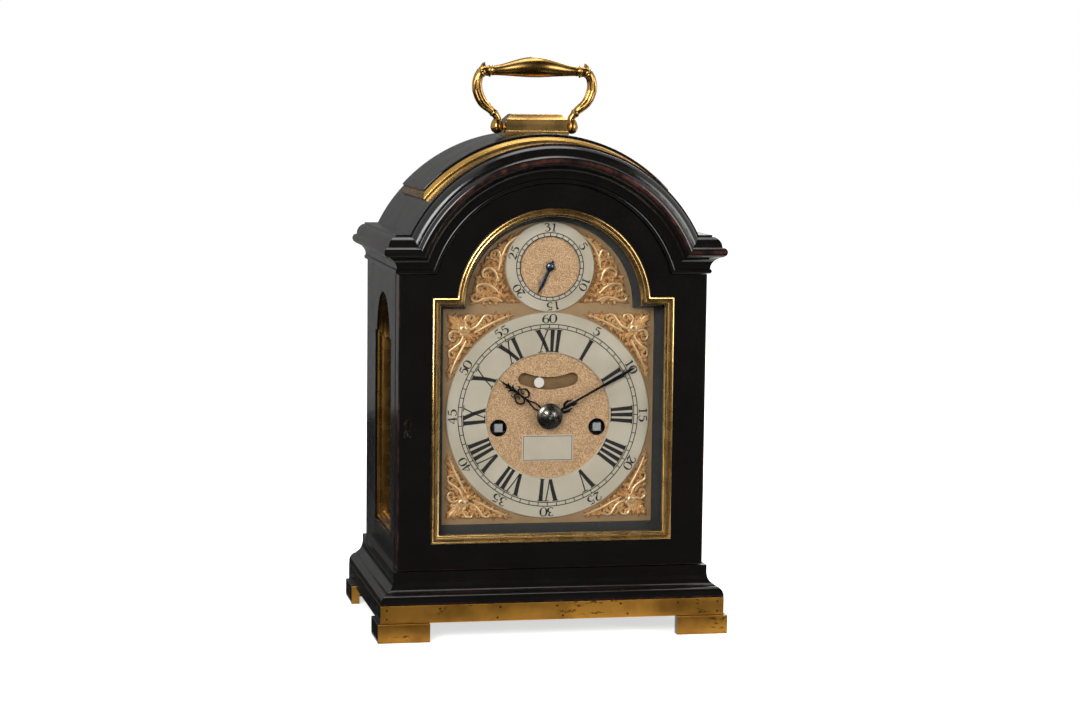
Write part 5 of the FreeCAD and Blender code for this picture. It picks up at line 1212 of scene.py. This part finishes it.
def dressMetals():
    polished = castBrass("lacqueredCastBrass", "#dfbb7a", "#966c30", 0.26, 0.1, 40.0)
    # a darker copy of the cast brass for the bail handle: tarnish from handling, and painted shade standing in for
    # the dark surroundings that the grip reflects
    handleTarnishAndShade = castBrass("handleBrassTarnishAndShade", "#a68148", "#523616", 0.24, 0.6, 8.0)
    # a darker copy of the lacquered brass for the pad moulding: painted shade that tones down the key lamp's
    # reflection along it
    roofBrassShadedCopy = castBrass("lacqueredRoofBrassShadedCopy", "#b48d4c", "#6c4a20", 0.27, 0.35, 20.0)
    linings = castBrass("lacqueredBrassLining", "#94703a", "#4a3214", 0.26, 0.2, 30.0)
    worn = plainMetal("wornDarkBrass", "#57452a", "#33260f", 0.35)
    facing = castBrass("tonedSheetBrass", "#dda045", "#8a5b24", 0.38, 0.6, 18.0, (0.15, 1.0, 1.0), True)
    # the broad 34 mm cloud of this silvering is uneven silvering and also painted reflection and shade, standing in
    # for soft reflections across the rings
    silver = plainMetal("silveredBrassPlate", "#e2dac8", "#aba084", 0.40, 0.5, 0.06, 0.35, 34.0)
    discSilver = plainMetal("silveredDisc", "#e6e2da", "#d6d0c6", 0.40, 0.5, 0.05, 0.2)
    black = plainMetal("blackenedSteel", "#2a2b2e", "#1c1d20", 0.25)
    turned = plainMetal("polishedDarkSteel", "#928d84", "#625e57", 0.28)
    blue = plainMetal("bluedSteel", "#4b525b", "#2b3037", 0.27)
    steel = plainMetal("polishedSteel", "#b4b7ba", "#9a9da1", 0.24)
    movement = castBrass("movementSheetBrass", "#cda050", "#9a7030", 0.30, 0.3, 12.0)
    bell = plainMetal("bellMetalTurned", "#c9b080", "#ab9058", 0.22)
    finishes = {
        worn: ("keyhole_escutcheon",), discSilver: ("mock_bob",),
        steel: ("hinge_pins", "lock_bolt", "pallets", "hammer", "bell_stand"), bell: ("bell",),
        movement: ("front_plate", "back_plate", "plate_pillars", "going_barrel", "strike_barrel", "pendulum",
                   "cannon_pinion", "minute_wheel", "hour_wheel", "calendar_star"),
    }
    for material, names in finishes.items():
        for name in names:
            dress(name, material)
    silverRings(silver)
    engraveRings()
    makeHands(blue, plainMetal("paleBluedSteel", "#6a7f92", "#44525f", 0.30))
    makeBoss(turned, steel)
    brassFrames(polished, linings)
    padMoulding(roofBrassShadedCopy)
    handleBlock(castBrass("lacqueredBlockBrass", "#cfa765", "#7a5626", 0.27, 0.35, 16.0))
    bailHandle(handleTarnishAndShade)
    castSpandrels(giltCasting("mercuryGiltCasting"))
    slotTray(plainMetal("brushedBrassSheet", "#9c7e56", "#785c3a", 0.42, 0.6, 0.08, 0.5))
    collets(black)
    softened("base_facings", facing, "case", 0.3)
    stripNails(plainMetal("tarnishedBrassPins", "#6e4a1c", "#4c3212", 0.4))
    plateFront = nodeBox("front_plate")[0][1]
    for name, steelRadius in (("going_fusee", 3.0), ("strike_fusee", 3.0), ("centre_wheel", 4.0),
                              ("third_wheel", 3.0),
                              ("escape_wheel", 3.0), ("pin_wheel", 3.0), ("hoop_wheel", 3.0), ("fly", 3.0)):
        low, high = nodeBox(name)
        centre = (low[[0, 2]] + high[[0, 2]]) / 2
        dress(name, arborBrass("brassAndSteel." + name, centre, steelRadius, plateFront))


def dressOthers():
    dress("dial_plate", mattedDialBrass("mattedGiltDialBrass"))
    # bone-black paint on a wooden board: flat, blue-grey and slightly dusty
    mask = plainMetal("paintedMaskBoard", "#343532", "#292a29", 0.62, 1.5, 0.05, 0.0)
    dress("dial_mask", mask)
    # sawn oak, oiled: warm brown with a long grain
    oak = plainMetal("oiledOakBoard", "#7a5a38", "#5a3f25", 0.55, 0.6, 0.25, 0.0)
    dress("seat_board", oak)
    # twisted gut, dry and matt
    dress("gut_lines", plainMetal("driedGutLine", "#9c8456", "#7d6840", 0.6, 0.3, 0.2, 0.0))
    dress("door_glass", clearGlass("oldDoorGlass", "#20262a", 0.03))
    for name in ("side_glasses", "back_door_glass"):
        dress(name, clearGlass("oldSideGlass." + name, "#4a4c4a", 0.16))


dressCase()
dressMetals()
dressOthers()
print("case, movement and dial finished")
